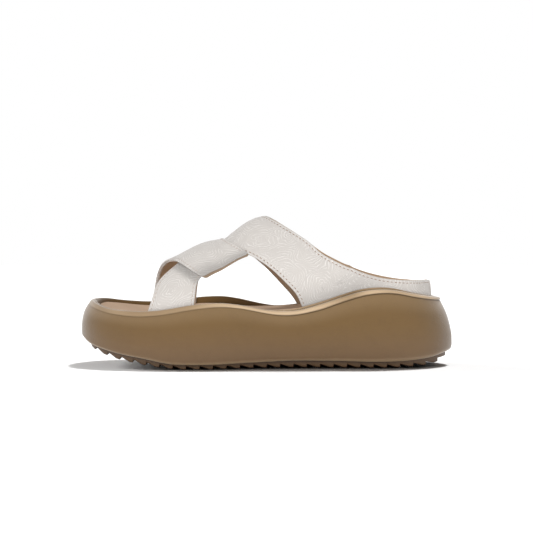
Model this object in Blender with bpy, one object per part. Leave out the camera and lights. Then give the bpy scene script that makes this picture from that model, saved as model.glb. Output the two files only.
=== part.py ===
"""A platform slide sandal for the left foot: a thick moulded platform with a wavy rim, a
rubber outsole with saw-tooth treads, a padded insole and an upper of three crossing bands.

The toe points to -X, the outer (lateral) side is -Y, the inner (medial) side is +Y and +Z is
up. The origin lies on the floor, below the middle of the sole. Tables are in millimetres and
degrees, and MM turns them into metres.
"""

import math

import bmesh
import bpy
import numpy as np

MM = 0.001

# ---- driving dimensions, in millimetres -----------------------------------------------------
HALF_LENGTH = 131.4
GAP = 0.3  # between two pieces that meet
STRAP = 2.2  # wall of the upper: leather and lining
INSOLE_THICKNESS = 3.5
STRAP_CLEARANCE = 1.3  # from the recess's floor to the feet of the straps
UNDER_RECESS = 1.5  # depth of the hollow under the platform that holds the outsole
UNDER_RIM = 4.2  # its inset from the widest outline
OUTSOLE_INSET = 4.5
TREAD_PITCH = 9.18
FIRST_TREAD = -119.0  # x of the first tread's steep face
TREAD_DEPTH = 2.1
TREAD_LAND = 2.6  # flat foot of each tread
TREAD_FACE = 0.2  # run of each tread's steep face, which looks to the heel
END_REGION = 112.0  # beyond this x the outsole has more slices, for its round ends

RING_POINTS = 104  # points round every ring of the sole, a multiple of four
CAP_POINTS = 3  # points across the middle of a wide flat face
BAND_POINTS = 7  # points across a band of the upper
BAND_STEPS = 2  # rows of a band for each row of its table
NORMAL_STEP = 0.5  # step, in millimetres and degrees, that the last's normals are found with

FOOTBED_MARGIN = 17.0  # from the widest outline to where the footbed starts to dip
NOTCH_MARGIN = 7.0  # from a band to where the insole is back at the wall
# The insole's side, from its top edge down: how far in, and how far below its top.
INSOLE_EDGE = (
    ("in", "below"),
    (1.6, 0.0),
    (0.5, 0.4),
    (0.0, 1.4),
    (0.0, 3.5),
)
FAN_START = 60.0  # behind this x the sections of the last turn about the heel's axis
FAN_END = 140.0  # station of the middle of the heel

# Widest outline of the platform in plan, from the toe to the heel.
PLAN = (
    ("x", "lateral", "medial"),
    (-129.0, -9.0, 22.0),
    (-123.0, -22.5, 34.0),
    (-112.5, -34.0, 42.5),
    (-98.0, -42.8, 47.5),
    (-80.0, -48.2, 50.0),
    (-58.0, -50.5, 50.0),
    (-36.0, -49.0, 47.0),
    (-12.0, -45.2, 42.0),
    (12.0, -42.0, 38.5),
    (38.0, -40.5, 37.2),
    (64.0, -41.0, 38.8),
    (88.0, -40.2, 39.5),
    (106.0, -35.6, 35.5),
    (119.0, -26.5, 26.5),
    (127.5, -14.0, 14.0),
)
TOE_TIP_Y = 6.5
HEEL_TIP_Y = 0.0

# Height of the rim's top, along the shoe.
RIM = (
    ("x", "lateral", "medial"),
    (-126.0, 46.2, 46.6),
    (-120.0, 44.2, 46.4),
    (-113.0, 41.8, 45.4),
    (-107.0, 40.6, 44.5),
    (-98.0, 39.9, 43.6),
    (-88.0, 39.5, 43.0),
    (-78.0, 39.9, 42.9),
    (-68.0, 41.1, 43.5),
    (-57.0, 43.1, 45.0),
    (-45.0, 45.1, 46.6),
    (-33.0, 46.1, 47.0),
    (-21.0, 45.3, 45.6),
    (-9.0, 43.0, 43.0),
    (-1.0, 41.3, 41.6),
    (7.0, 40.2, 40.6),
    (15.0, 40.6, 41.2),
    (23.0, 41.9, 42.1),
    (31.5, 44.2, 44.3),
    (40.0, 46.7, 46.6),
    (48.0, 49.5, 49.4),
    (56.0, 52.1, 52.1),
    (64.0, 54.3, 54.2),
    (72.0, 55.5, 55.4),
    (80.0, 55.8, 55.7),
    (89.0, 54.9, 55.0),
    (98.0, 52.8, 53.1),
    (107.0, 51.0, 51.0),
    (117.0, 49.2, 49.2),
    (124.0, 48.1, 48.1),
)

# Bottom edge of the platform's side, and the top of the insole, along the shoe.
BASE = (
    ("x", "edge"),
    (-131.0, 22.0),
    (-124.5, 17.0),
    (-117.5, 14.6),
    (-110.0, 12.6),
    (-103.5, 11.0),
    (-91.0, 8.8),
    (-81.5, 7.2),
    (-74.0, 5.6),
    (-67.0, 4.4),
    (-58.0, 3.7),
    (-44.0, 3.6),
    (-8.0, 5.0),
    (22.0, 5.9),
    (48.0, 5.7),
    (75.0, 5.1),
    (92.0, 5.4),
    (102.0, 6.1),
    (109.0, 6.8),
    (116.0, 7.8),
    (121.0, 9.0),
    (127.0, 10.3),
    (131.0, 11.2),
)
FOOTBED = (
    ("x", "lateral", "centre", "medial"),
    (-122.0, 43.0, 42.6, 44.4),
    (-107.0, 39.8, 39.8, 42.4),
    (-86.0, 38.6, 37.8, 40.4),
    (-60.0, 40.0, 37.0, 41.4),
    (-36.0, 41.6, 36.8, 42.2),
    (-12.0, 40.8, 37.6, 40.8),
    (7.0, 39.3, 38.4, 39.5),
    (22.0, 40.2, 38.9, 40.4),
    (45.0, 43.6, 40.6, 43.6),
    (65.0, 48.4, 42.0, 48.4),
    (85.0, 50.0, 43.4, 50.0),
    (104.0, 48.4, 44.2, 48.4),
    (118.0, 46.4, 45.4, 46.4),
)

# How the sole's section changes round the shoe: inset of the crease, width of the lip, its
# height above the crease, how far its inner ridge stands above its outer bead, and the swell of
# the side below it, an exponent on the side's inset shares.
SECTION = (
    ("x", "crease", "lip", "height", "ridge", "swell"),
    (-131.0, 5.0, 5.6, 3.0, 0.0, 1.45),
    (-118.0, 5.2, 5.2, 3.0, 0.0, 1.3),
    (-108.0, 5.3, 5.0, 3.2, 0.0, 1.1),
    (-93.0, 5.4, 4.8, 3.7, 0.0, 1.0),
    (-40.0, 5.4, 4.8, 3.7, 0.0, 1.0),
    (-10.0, 5.4, 4.8, 3.3, 0.0, 1.0),
    (0.0, 5.4, 4.8, 3.2, 0.2, 1.0),
    (12.0, 5.4, 4.9, 3.9, 0.7, 1.0),
    (27.0, 5.5, 5.0, 5.0, 1.6, 1.0),
    (38.0, 5.6, 5.1, 5.6, 1.6, 1.0),
    (58.0, 5.8, 5.4, 5.4, 1.6, 1.0),
    (72.0, 5.9, 5.5, 4.6, 1.5, 1.0),
    (90.0, 6.3, 5.8, 3.7, 1.1, 1.0),
    (100.0, 6.9, 6.0, 3.4, 0.8, 1.0),
    (115.0, 7.6, 6.2, 3.4, 0.7, 1.0),
    (131.0, 8.4, 6.4, 3.0, 0.6, 1.0),
)
# The platform's side, from the bottom edge (rise 0) to the crease (rise 1).
SIDE = (
    ("rise", "inset_share"),
    (0.0, 0.22),
    (0.03, 0.08),
    (0.12, 0.0),
    (0.28, 0.01),
    (0.45, 0.12),
    (0.62, 0.30),
    (0.78, 0.54),
    (0.90, 0.78),
    (1.0, 1.0),
)
# The lip: how far in across its width, how far below the top of the bead or the ridge, and
# how much of the step from the bead up to the ridge it has climbed.
LIP = (
    ("across", "below", "climbed"),
    (-0.04, 2.2, 0.0),
    (0.04, 1.4, 0.0),
    (0.18, 0.45, 0.0),
    (0.38, 0.0, 0.0),
    (0.56, 0.25, 0.0),
    (0.64, 0.25, 0.45),
    (0.76, 0.0, 0.9),
    (0.9, 0.0, 1.0),
    (1.0, 0.6, 1.0),
)

# The last under the bands: ridge height and its place across, and the fullness of its sides.
LAST = (
    ("x", "ridge", "across", "fullness"),
    (-95.0, 60.0, 3.0, 0.8),
    (-82.0, 65.2, 3.0, 0.8),
    (-75.0, 67.9, 3.0, 0.81),
    (-70.0, 70.4, 3.0, 0.82),
    (-62.0, 73.5, 3.0, 0.84),
    (-53.0, 78.2, 3.0, 0.86),
    (-44.0, 82.4, 3.5, 0.88),
    (-37.0, 84.2, 4.0, 0.9),
    (-31.0, 85.2, 4.0, 0.92),
    (-25.0, 89.4, 4.0, 0.94),
    (-18.0, 94.8, 4.0, 0.95),
    (-12.0, 98.9, 4.0, 0.96),
    (-6.0, 101.8, 4.0, 0.97),
    (2.0, 103.2, 4.0, 0.98),
    (12.0, 104.5, 3.5, 0.96),
    (35.0, 107.0, 2.5, 0.9),
    (60.0, 110.0, 1.0, 0.8),
    (100.0, 102.0, 0.0, 0.8),
    (140.0, 96.0, 0.0, 0.8),
)

# Bands of the upper. A row runs across the band: x and angle round the last of its two edges,
# where 0 is the base of the lateral side, 90 the ridge and 180 the base of the medial side.
# "lift" is the height of the band's inner face above the last, and "bow" the degrees by which
# the middle of the row stands round from the line between its ends.
LATERAL_BAND = (
    ("front_x", "front_angle", "rear_x", "rear_angle", "lift", "bow"),
    (-81.5, 0.0, -50.0, 0.0, 0.0, 0.0),
    (-80.7, 5.5, -49.6, 7.0, 0.0, 0.0),
    (-78.2, 17.0, -48.9, 14.0, 0.0, 0.0),
    (-76.9, 27.0, -48.3, 21.5, 0.0, 0.0),
    (-75.1, 36.0, -47.2, 26.0, 0.0, 0.0),
    (-71.4, 46.0, -44.8, 30.0, 0.0, 0.0),
    (-66.5, 54.0, -41.0, 39.0, 0.0, 0.0),
    (-61.0, 63.0, -38.0, 52.0, 0.0, 0.0),
    (-56.0, 74.0, -36.0, 67.0, 0.0, 0.0),
    (-52.0, 87.0, -34.5, 84.0, 0.0, 0.0),
    (-49.0, 102.0, -31.0, 99.0, 0.0, 0.0),
    (-47.0, 117.0, -25.0, 113.0, 0.0, 0.0),
    (-45.8, 132.0, -18.5, 126.0, 0.0, -1.0),
    (-45.0, 143.0, -13.0, 136.0, 0.0, -2.0),
    (-44.6, 151.0, -10.9, 141.5, 0.0, -3.0),
)
MEDIAL_BAND = (
    ("front_x", "front_angle", "rear_x", "rear_angle", "lift", "bow"),
    (-84.5, 180.0, -52.0, 180.0, 0.0, 0.0),
    (-83.5, 171.0, -51.5, 173.0, 0.0, 0.0),
    (-82.5, 163.0, -51.0, 166.0, 0.2, 0.0),
    (-81.6, 156.5, -50.3, 159.0, 0.6, 0.0),
    (-80.3, 144.0, -48.8, 154.0, 1.3, 0.0),
    (-78.6, 131.0, -45.8, 150.0, 1.7, 0.0),
    (-75.7, 114.0, -41.0, 140.0, 1.7, 0.0),
    (-72.0, 98.0, -36.8, 124.0, 1.7, 0.0),
    (-68.5, 85.0, -33.0, 107.0, 1.7, 0.0),
    (-64.0, 73.0, -29.6, 90.0, 1.7, 0.0),
    (-60.5, 62.0, -27.3, 74.0, 1.7, 0.0),
    (-57.0, 51.5, -22.3, 57.0, 1.7, 1.0),
    (-51.0, 38.0, -16.0, 45.0, 1.7, 2.0),
    (-42.8, 26.5, -10.9, 38.0, 1.7, 4.0),
)
# The collar: its outer edge at the front and along the sole, and the topline opposite.
COLLAR_LATERAL = (
    ("front_x", "front_angle", "rear_x", "rear_angle", "lift", "bow"),
    (-31.5, 90.0, -1.5, 90.0, 0.3, 0.0),
    (-30.8, 76.0, 0.5, 82.5, 0.2, 0.0),
    (-27.0, 61.0, 3.5, 75.0, 0.1, 0.0),
    (-21.5, 51.0, 7.5, 68.5, 0.0, 0.0),
    (-16.0, 44.5, 12.0, 62.0, 0.0, 0.0),
    (-10.4, 38.7, 17.0, 56.3, 0.0, 0.0),
    (-3.0, 32.7, 23.0, 50.0, 0.0, 0.0),
    (4.0, 27.7, 30.3, 42.6, 0.0, 0.0),
    (10.5, 21.7, 35.8, 34.7, 0.0, 0.0),
    (17.0, 15.4, 42.4, 28.5, 0.0, 0.0),
    (22.5, 10.0, 48.6, 23.4, 0.0, 0.0),
    (27.0, 4.0, 54.0, 19.4, 0.0, 0.0),
    (30.0, 0.0, 58.5, 16.7, 0.0, 0.0),
    (43.0, 0.0, 66.0, 14.6, 0.0, 0.0),
    (58.0, 0.0, 75.0, 13.0, 0.0, 0.0),
    (73.0, 0.0, 84.0, 11.7, 0.0, 0.0),
    (86.0, 0.0, 92.0, 10.7, 0.0, 0.0),
    (96.0, 0.0, 99.0, 10.2, 0.0, 0.0),
    (105.0, 0.0, 107.0, 10.1, 0.0, 0.0),
    (114.0, 0.0, 115.0, 10.7, 0.0, 0.0),
    (123.0, 0.0, 123.0, 12.2, 0.0, 0.0),
    (131.5, 0.0, 131.5, 13.7, 0.0, 0.0),
    (140.0, 0.0, 140.0, 14.2, 0.0, 0.0),
)
COLLAR_MEDIAL = (
    ("front_x", "front_angle", "rear_x", "rear_angle", "lift", "bow"),
    (-31.5, 90.0, -1.5, 90.0, 0.3, 0.0),
    (-29.5, 103.0, 0.5, 97.5, 1.0, 0.0),
    (-26.0, 116.0, 3.5, 105.0, 1.7, 0.0),
    (-21.5, 127.0, 7.5, 111.5, 1.7, 0.0),
    (-16.0, 135.0, 12.0, 118.0, 1.7, 0.0),
    (-10.5, 142.0, 17.0, 123.7, 1.7, 0.0),
    (-4.6, 148.0, 23.0, 130.0, 1.4, 0.0),
    (2.0, 153.5, 30.3, 137.4, 0.6, 0.0),
    (8.0, 159.5, 35.8, 143.6, 0.1, 0.0),
    (13.5, 165.3, 42.4, 150.1, 0.0, 0.0),
    (18.7, 170.5, 48.6, 155.2, 0.0, 0.0),
    (23.2, 175.8, 54.0, 159.5, 0.0, 0.0),
    (26.0, 180.0, 58.5, 162.3, 0.0, 0.0),
    (41.0, 180.0, 66.0, 164.4, 0.0, 0.0),
    (57.0, 180.0, 75.0, 165.8, 0.0, 0.0),
    (73.0, 180.0, 84.0, 167.0, 0.0, 0.0),
    (86.0, 180.0, 92.0, 168.1, 0.0, 0.0),
    (96.0, 180.0, 99.0, 169.1, 0.0, 0.0),
    (105.0, 180.0, 107.0, 170.0, 0.0, 0.0),
    (114.0, 180.0, 115.0, 170.1, 0.0, 0.0),
    (123.0, 180.0, 123.0, 169.1, 0.0, 0.0),
    (131.5, 180.0, 131.5, 167.2, 0.0, 0.0),
    (140.0, 180.0, 140.0, 165.8, 0.0, 0.0),
)

# Lowest line of the treads along the shoe: flat from the ball to the heel, sprung at both ends.
TREAD_LINE = (
    ("x", "z"),
    (-131.0, 19.6),
    (-124.5, 15.9),
    (-120.0, 11.9),
    (-111.0, 9.0),
    (-102.0, 6.4),
    (-92.5, 4.5),
    (-84.0, 3.0),
    (-75.7, 1.7),
    (-66.6, 0.7),
    (-57.0, 0.0),
    (80.0, 0.0),
    (91.0, 0.3),
    (100.0, 0.8),
    (109.0, 1.5),
    (117.0, 2.6),
    (122.0, 4.6),
    (128.0, 8.0),
)

COLOURS = {
    "outsole": (0.155, 0.105, 0.06, 1.0),
    "platform": (0.27, 0.18, 0.10, 1.0),
    "insole": (0.50, 0.36, 0.25, 1.0),
    "upper": (0.74, 0.69, 0.64, 1.0),
}
ROUGHNESS = {"outsole": 0.7, "platform": 0.55, "insole": 0.6, "upper": 0.5}


def column(table, name):
    """One column of a table, whose first row holds the columns' names."""
    place = table[0].index(name)
    return np.array([row[place] for row in table[1:]], dtype=float)


def smooth(table, name, at):
    """Value of a table's column at places along its first column."""
    return curve(column(table, table[0][0]), column(table, name), at)


def curve(keys, values, at):
    """Cubics through values given at rising keys, which never overshoot them."""
    chords = np.diff(values) / np.diff(keys)
    level = chords[1:] * chords[:-1] <= 0.0
    total = np.where(level, 1.0, chords[1:] + chords[:-1])
    inner = np.where(level, 0.0, 2.0 * chords[1:] * chords[:-1] / total)
    slopes = np.concatenate([chords[:1], inner, chords[-1:]])
    at = np.clip(np.asarray(at, dtype=float), keys[0], keys[-1])
    row = np.clip(np.searchsorted(keys, at) - 1, 0, len(keys) - 2)
    step = keys[row + 1] - keys[row]
    t = (at - keys[row]) / step
    start, end = values[row], values[row + 1]
    rise_in, rise_out = slopes[row] * step, slopes[row + 1] * step
    bend_in, bend_out = start - end + rise_in, end - start - rise_out
    return start + (end - start) * t + t * (1 - t) * (bend_in * (1 - t) + bend_out * t)


def ease(value, low, high):
    """0 below low, 1 above high and a soft step between."""
    t = np.clip((value - low) / (high - low), 0.0, 1.0)
    return t * t * (3.0 - 2.0 * t)


# ---- outline of the sole --------------------------------------------------------------------


def even_ring(points, count):
    """Closed smooth curve through the points, as count points: half on each side of the tips."""
    loop = np.vstack([points[-2:], points, points[:3]])
    fine = []
    for before, start, end, after in zip(loop, loop[1:], loop[2:], loop[3:]):
        t = np.linspace(0.0, 1.0, 24, endpoint=False)[:, None]
        fine.append(
            0.5
            * (
                2 * start
                + (end - before) * t
                + (2 * before - 5 * start + 4 * end - after) * t**2
                + (3 * start - before - 3 * end + after) * t**3
            )
        )
    fine = np.vstack(fine)[24 : 24 * (len(points) + 1)]
    toe, heel = np.argmin(fine[:, 0]), np.argmax(fine[:, 0])
    fine = np.roll(fine, -toe, axis=0)
    heel = (heel - toe) % len(fine)
    halves = []
    for half in (fine[: heel + 1], np.vstack([fine[heel:], fine[:1]])):
        run = np.concatenate([[0.0], np.cumsum(np.linalg.norm(np.diff(half, axis=0), axis=1))])
        places = np.linspace(0.0, run[-1], count // 2 + 1)[:-1]
        halves.append(np.column_stack([np.interp(places, run, half[:, k]) for k in (0, 1)]))
    return np.vstack(halves)


def make_outline():
    """Widest outline of the sole and its outward directions, from the toe along the outer side."""
    x = column(PLAN, "x")
    lateral = np.column_stack([x, column(PLAN, "lateral")])
    medial = np.column_stack([x, column(PLAN, "medial")])[::-1]
    points = np.vstack([[(-HALF_LENGTH, TOE_TIP_Y)], lateral, [(HALF_LENGTH, HEEL_TIP_Y)], medial])
    ring = even_ring(points, RING_POINTS)
    along = np.roll(ring, -1, axis=0) - np.roll(ring, 1, axis=0)
    out = np.column_stack([along[:, 1], -along[:, 0]])
    out /= np.linalg.norm(out, axis=1)[:, None]
    return ring, -out if out[0, 0] > 0 else out


OUTLINE, OUTWARD = make_outline()


def inset_ring(inset):
    """The outline moved in by an inset, a number or one for each point."""
    return OUTLINE - OUTWARD * np.broadcast_to(inset, RING_POINTS)[:, None]


def side_share(points):
    """0 along the outer side, 1 along the inner side, with a soft change round the two ends."""
    low, high = smooth(PLAN, "lateral", points[:, 0]), smooth(PLAN, "medial", points[:, 0])
    return ease((points[:, 1] - low) / (high - low), 0.15, 0.85)


def rim_height(points):
    share = side_share(points)
    lateral, medial = smooth(RIM, "lateral", points[:, 0]), smooth(RIM, "medial", points[:, 0])
    return lateral + (medial - lateral) * share


def wall_inset():
    """Inset of the recess's wall, which is the inner edge of the lip."""
    return smooth(SECTION, "crease", OUTLINE[:, 0]) + smooth(SECTION, "lip", OUTLINE[:, 0])


# Where the inner face of the upper stands, inside the wall.
BASE_RING = inset_ring(wall_inset() + GAP + STRAP)


def footbed_height(points):
    """Top of the insole: a parabola across, through its outer edge, middle and inner edge."""
    x = points[..., 0]
    low = smooth(PLAN, "lateral", x) + FOOTBED_MARGIN
    high = smooth(PLAN, "medial", x) - FOOTBED_MARGIN
    across = np.clip((2.0 * points[..., 1] - low - high) / (high - low), -1.0, 1.0)
    lateral, centre, medial = (smooth(FOOTBED, k, x) for k in FOOTBED[0][1:])
    tilt, cup = (medial - lateral) / 2.0, (medial + lateral) / 2.0 - centre
    return centre + tilt * across + cup * across**2


# ---- meshes ---------------------------------------------------------------------------------


class Solid:
    """Gathers the rings, strips and caps of one closed solid, in millimetres."""

    def __init__(self):
        self.points = []
        self.faces = []

    def add(self, points):
        """Adds points and returns their numbers."""
        start = len(self.points)
        self.points.extend(map(tuple, points))
        return np.arange(start, start + len(points))

    def strip(self, first, second, closed=True):
        """Joins two rows of points by quads."""
        count = len(first)
        for i in range(count if closed else count - 1):
            j = (i + 1) % count
            self.faces.append((first[i], first[j], second[j], second[i]))

    def cap(self, ring, surface):
        """Fills a ring that is paired across the shoe by rows of points on a surface."""
        half = len(ring) // 2
        corner = np.array([self.points[k] for k in ring])
        shares = np.arange(1, CAP_POINTS + 1) / (CAP_POINTS + 1.0)
        rows = []
        for i in range(1, half):
            start, end = corner[i, :2], corner[-i, :2]
            middle = start + (end - start) * shares[:, None]
            inner = self.add(np.column_stack([middle, surface(middle)]))
            rows.append([ring[i], *inner, ring[-i]])
        for row, below in zip(rows, rows[1:]):
            self.strip(row, below, closed=False)
        for tip, row in ((ring[0], rows[0]), (ring[half], rows[-1])):
            for start, end in zip(row, row[1:]):
                self.faces.append((tip, start, end))

    def finish(self, name):
        """Makes the object, with its faces turned outwards."""
        mesh = bpy.data.meshes.new(name)
        mesh.from_pydata([(x * MM, y * MM, z * MM) for x, y, z in self.points], [], self.faces)
        shape = bmesh.new()
        shape.from_mesh(mesh)
        bmesh.ops.recalc_face_normals(shape, faces=shape.faces)
        shape.to_mesh(mesh)
        shape.free()
        mesh.shade_smooth()
        mesh.set_sharp_from_angle(angle=math.radians(40.0))
        piece = bpy.data.objects.new(name, mesh)
        bpy.context.scene.collection.objects.link(piece)
        piece.data.materials.append(bpy.data.materials[name.split("_")[0]])
        return piece


def with_height(ring, height):
    return np.column_stack([ring, np.broadcast_to(height, len(ring))])


# ---- platform -------------------------------------------------------------------------------


def recess_floor(points):
    return footbed_height(points) - INSOLE_THICKNESS - GAP


def make_platform():
    """Underside hollow, swelling side, crease, lip and the recess for the insole, ring by ring."""
    solid = Solid()
    crease, lip, height, ridge, swell = (smooth(SECTION, k, OUTLINE[:, 0]) for k in SECTION[0][1:])
    base = smooth(BASE, "edge", OUTLINE[:, 0])
    rim = rim_height(inset_ring(crease + lip / 2.0))
    crease_height = rim - height

    under = inset_ring(UNDER_RIM)
    rings = [with_height(under, base + UNDER_RECESS), with_height(under, base)]
    for rise, share in SIDE[1:]:
        ring = inset_ring(crease * share**swell)
        rings.append(with_height(ring, base + (crease_height - base) * rise))
    for across, below, climbed in LIP[1:]:
        top = rim - ridge * (1.0 - climbed) - below
        rings.append(with_height(inset_ring(crease + lip * across), top))
    wall = inset_ring(crease + lip)
    rings.append(with_height(wall, recess_floor(wall)))

    rows = [solid.add(ring) for ring in rings]
    for row, following in zip(rows, rows[1:]):
        solid.strip(row, following)
    solid.cap(rows[0], lambda at: smooth(BASE, "edge", at[:, 0]) + UNDER_RECESS)
    solid.cap(rows[-1], recess_floor)
    return solid.finish("platform")


# ---- insole ---------------------------------------------------------------------------------


def band_share(points):
    """1 where a band of the upper goes down inside the wall, 0 where the wall is bare."""
    x, outer = points[:, 0], side_share(points) < 0.5
    share = np.zeros(len(points))
    for band, side in ((LATERAL_BAND, outer), (MEDIAL_BAND, ~outer)):
        front = column(band, "front_x")[0] - NOTCH_MARGIN
        rear = column(band, "rear_x")[0] + NOTCH_MARGIN
        share = np.maximum(share, side * ((x > front) & (x < rear)))
    for band, side in ((COLLAR_LATERAL, outer), (COLLAR_MEDIAL, ~outer)):
        feet = np.isin(column(band, "front_angle"), (0.0, 180.0))
        front = column(band, "front_x")[feet].min() - NOTCH_MARGIN
        share = np.maximum(share, side * (x > front))
    return share


def make_insole():
    """Cupped footbed with a rounded top edge, held back from the wall where the bands go down."""
    solid = Solid()
    inset = wall_inset() + GAP + band_share(BASE_RING) * (STRAP + GAP)
    rings = []
    for extra, below in INSOLE_EDGE[1:]:
        ring = inset_ring(inset + extra)
        rings.append(with_height(ring, footbed_height(ring) - below))
    rows = [solid.add(ring) for ring in rings]
    for row, following in zip(rows, rows[1:]):
        solid.strip(row, following)
    solid.cap(rows[0], footbed_height)
    solid.cap(rows[-1], lambda at: footbed_height(at) - INSOLE_THICKNESS)
    return solid.finish("insole")


# ---- outsole --------------------------------------------------------------------------------


def tread_profile():
    """(x, z) of the treads down the shoe: each slopes down from its root, then stands flat."""
    rows = []
    x = FIRST_TREAD - TREAD_PITCH
    while x < HALF_LENGTH:
        rows += [(x, TREAD_DEPTH), (x + TREAD_PITCH - TREAD_LAND, 0.0)]
        rows += [(x + TREAD_PITCH - TREAD_FACE, 0.0)]
        x += TREAD_PITCH
    x, depth = np.array(rows).T
    line, before, after = (smooth(TREAD_LINE, "z", x + k * NORMAL_STEP) for k in (0, -1, 1))
    fall = np.arctan2(before - after, 2.0 * NORMAL_STEP)
    return np.column_stack([x + depth * np.sin(fall), line + depth * np.cos(fall)])


def make_outsole():
    """One slice across for each corner of the treads, with more slices round the two ends."""
    edge = inset_ring(OUTSOLE_INSET)
    half = RING_POINTS // 2
    lateral = edge[: half + 1]
    medial = np.vstack([edge[half:], edge[:1]])[::-1]
    treads = tread_profile()
    ends = lateral[np.abs(lateral[:, 0]) > END_REGION, 0]
    ends = np.concatenate([ends, medial[np.abs(medial[:, 0]) > END_REGION, 0]])
    inside = treads[(treads[:, 0] > edge[0, 0]) & (treads[:, 0] < edge[half, 0]), 0]
    stations = np.unique(np.round(np.concatenate([inside, ends]), 2))
    stations = stations[np.concatenate([[True], np.diff(stations) > TREAD_FACE / 2.0])]

    solid = Solid()
    rows = []
    for x in stations:
        low = np.interp(x, lateral[:, 0], lateral[:, 1])
        high = np.interp(x, medial[:, 0], medial[:, 1])
        top = smooth(BASE, "edge", x) + UNDER_RECESS - GAP
        bottom = np.interp(x, treads[:, 0], treads[:, 1])
        high = max(high, low + TREAD_FACE)
        rows.append(solid.add([(x, low, bottom), (x, high, bottom), (x, high, top), (x, low, top)]))
    for row, following in zip(rows, rows[1:]):
        solid.strip(row, following)
    solid.faces += [tuple(rows[0]), tuple(rows[-1][::-1])]
    return solid.finish("outsole")


# ---- upper ----------------------------------------------------------------------------------


def last_base(station, side):
    """Reach of the last's foot from its ridge at a station, on the outer (-1) or inner (1) side."""
    half = RING_POINTS // 2
    ring = BASE_RING[: half + 1] if side < 0 else np.vstack([BASE_RING[half:], BASE_RING[:1]])[::-1]
    axis = smooth(LAST, "across", FAN_START)
    straight = side * (np.interp(station, ring[:, 0], ring[:, 1]) - smooth(LAST, "across", station))
    rear = ring[ring[:, 0] > FAN_START - TREAD_PITCH]
    turn = np.arctan2(rear[:, 0] - FAN_START, side * (rear[:, 1] - axis))
    reach = np.hypot(rear[:, 0] - FAN_START, rear[:, 1] - axis)
    return np.where(station <= FAN_START, straight, np.interp(fan_turn(station), turn, reach))


def fan_turn(station):
    """Turn of a section about the heel's axis: 0 up to its start, a quarter turn at the heel."""
    share = (station - FAN_START) / (FAN_END - FAN_START)
    return np.clip(share, 0.0, 1.0) * math.pi / 2.0


def last_point(station, angle):
    """The last: a superellipse at each station, from the base of one side over the ridge."""
    station, angle = np.broadcast_arrays(np.asarray(station, float), np.asarray(angle, float))
    outer = angle <= 90.0
    side = np.where(outer, -1.0, 1.0)
    lean = np.radians(np.clip(np.where(outer, angle, 180.0 - angle), 0.0, 90.0))
    fullness = smooth(LAST, "fullness", station)
    reach = np.where(outer, last_base(station, -1), last_base(station, 1))
    turn = fan_turn(station)
    x0 = np.minimum(station, FAN_START)
    y0 = smooth(LAST, "across", x0)

    def place(distance):
        return np.stack(
            [x0 + distance * np.sin(turn), y0 + side * distance * np.cos(turn)], axis=-1
        )

    foot = recess_floor(place(reach)) + STRAP_CLEARANCE
    height = foot + (smooth(LAST, "ridge", station) - foot) * np.sin(lean) ** fullness
    flat = place(reach * np.cos(lean) ** fullness)
    return np.concatenate([flat, height[..., None]], axis=-1)


def offset_point(station, angle, lift):
    """A point at a height above the last, along its outward normal."""
    station, angle = np.asarray(station, float), np.asarray(angle, float)
    low = np.clip(angle - NORMAL_STEP, 0.0, 180.0)
    high = np.clip(angle + NORMAL_STEP, 0.0, 180.0)
    round_it = last_point(station, high) - last_point(station, low)
    along = last_point(station + NORMAL_STEP, angle) - last_point(station - NORMAL_STEP, angle)
    normal = np.cross(along, round_it)
    normal /= np.linalg.norm(normal, axis=-1, keepdims=True)
    return last_point(station, angle) + normal * np.asarray(lift)[..., None]


def band_rows(table):
    """A band's table with more rows, on smooth curves through its own: one array a column."""
    given = np.arange(len(table) - 1)
    places = np.linspace(0, given[-1], given[-1] * BAND_STEPS + 1)
    return np.column_stack([curve(given, column(table, name), places) for name in table[0]])


def make_band(name, rows, closed=False):
    """A wall of STRAP between two edges, whose inner face lies at its lift above the last."""
    front_x, front_angle, rear_x, rear_angle, lift, bow = (each[:, None] for each in rows.T)
    share = np.linspace(0.0, 1.0, BAND_POINTS)
    station = front_x + (rear_x - front_x) * share
    angle = front_angle + (rear_angle - front_angle) * share + bow * 4.0 * share * (1.0 - share)
    lift = np.broadcast_to(lift, station.shape)
    inner = offset_point(station, angle, lift)
    outer = offset_point(station, angle, lift + STRAP)

    solid = Solid()
    around = np.concatenate([inner, outer[:, ::-1]], axis=1)
    loops = [solid.add(loop) for loop in around]
    for loop, following in zip(loops, loops[1:]):
        solid.strip(loop, following)
    if closed:
        solid.strip(loops[-1], loops[0])
    else:
        for loop in (loops[0], loops[-1]):
            for k in range(BAND_POINTS - 1):
                solid.faces.append((loop[k], loop[k + 1], loop[-k - 2], loop[-k - 1]))
    return solid.finish(name)


def make_upper():
    """The two front bands and the collar, joined into one hollow upper where they cross."""
    back = band_rows(COLLAR_MEDIAL)[-2:0:-1]
    around = np.vstack([band_rows(COLLAR_LATERAL), back])
    collar = make_band("upper_collar", around, closed=True)
    upper = make_band("upper", band_rows(MEDIAL_BAND))
    for part in (make_band("upper_lateral_band", band_rows(LATERAL_BAND)), collar):
        part.hide_render = True
        part.display_type = "WIRE"
        join = upper.modifiers.new(part.name, "BOOLEAN")
        join.operation = "UNION"
        join.object = part
    return upper


def make_materials():
    for name, colour in COLOURS.items():
        material = bpy.data.materials.new(name)
        material.use_nodes = True
        shader = material.node_tree.nodes["Principled BSDF"]
        shader.inputs["Base Color"].default_value = colour
        shader.inputs["Roughness"].default_value = ROUGHNESS[name]


def main():
    for thing in list(bpy.data.objects):
        bpy.data.objects.remove(thing, do_unlink=True)
    make_materials()
    make_outsole()
    make_platform()
    make_insole()
    make_upper()


main()
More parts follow.
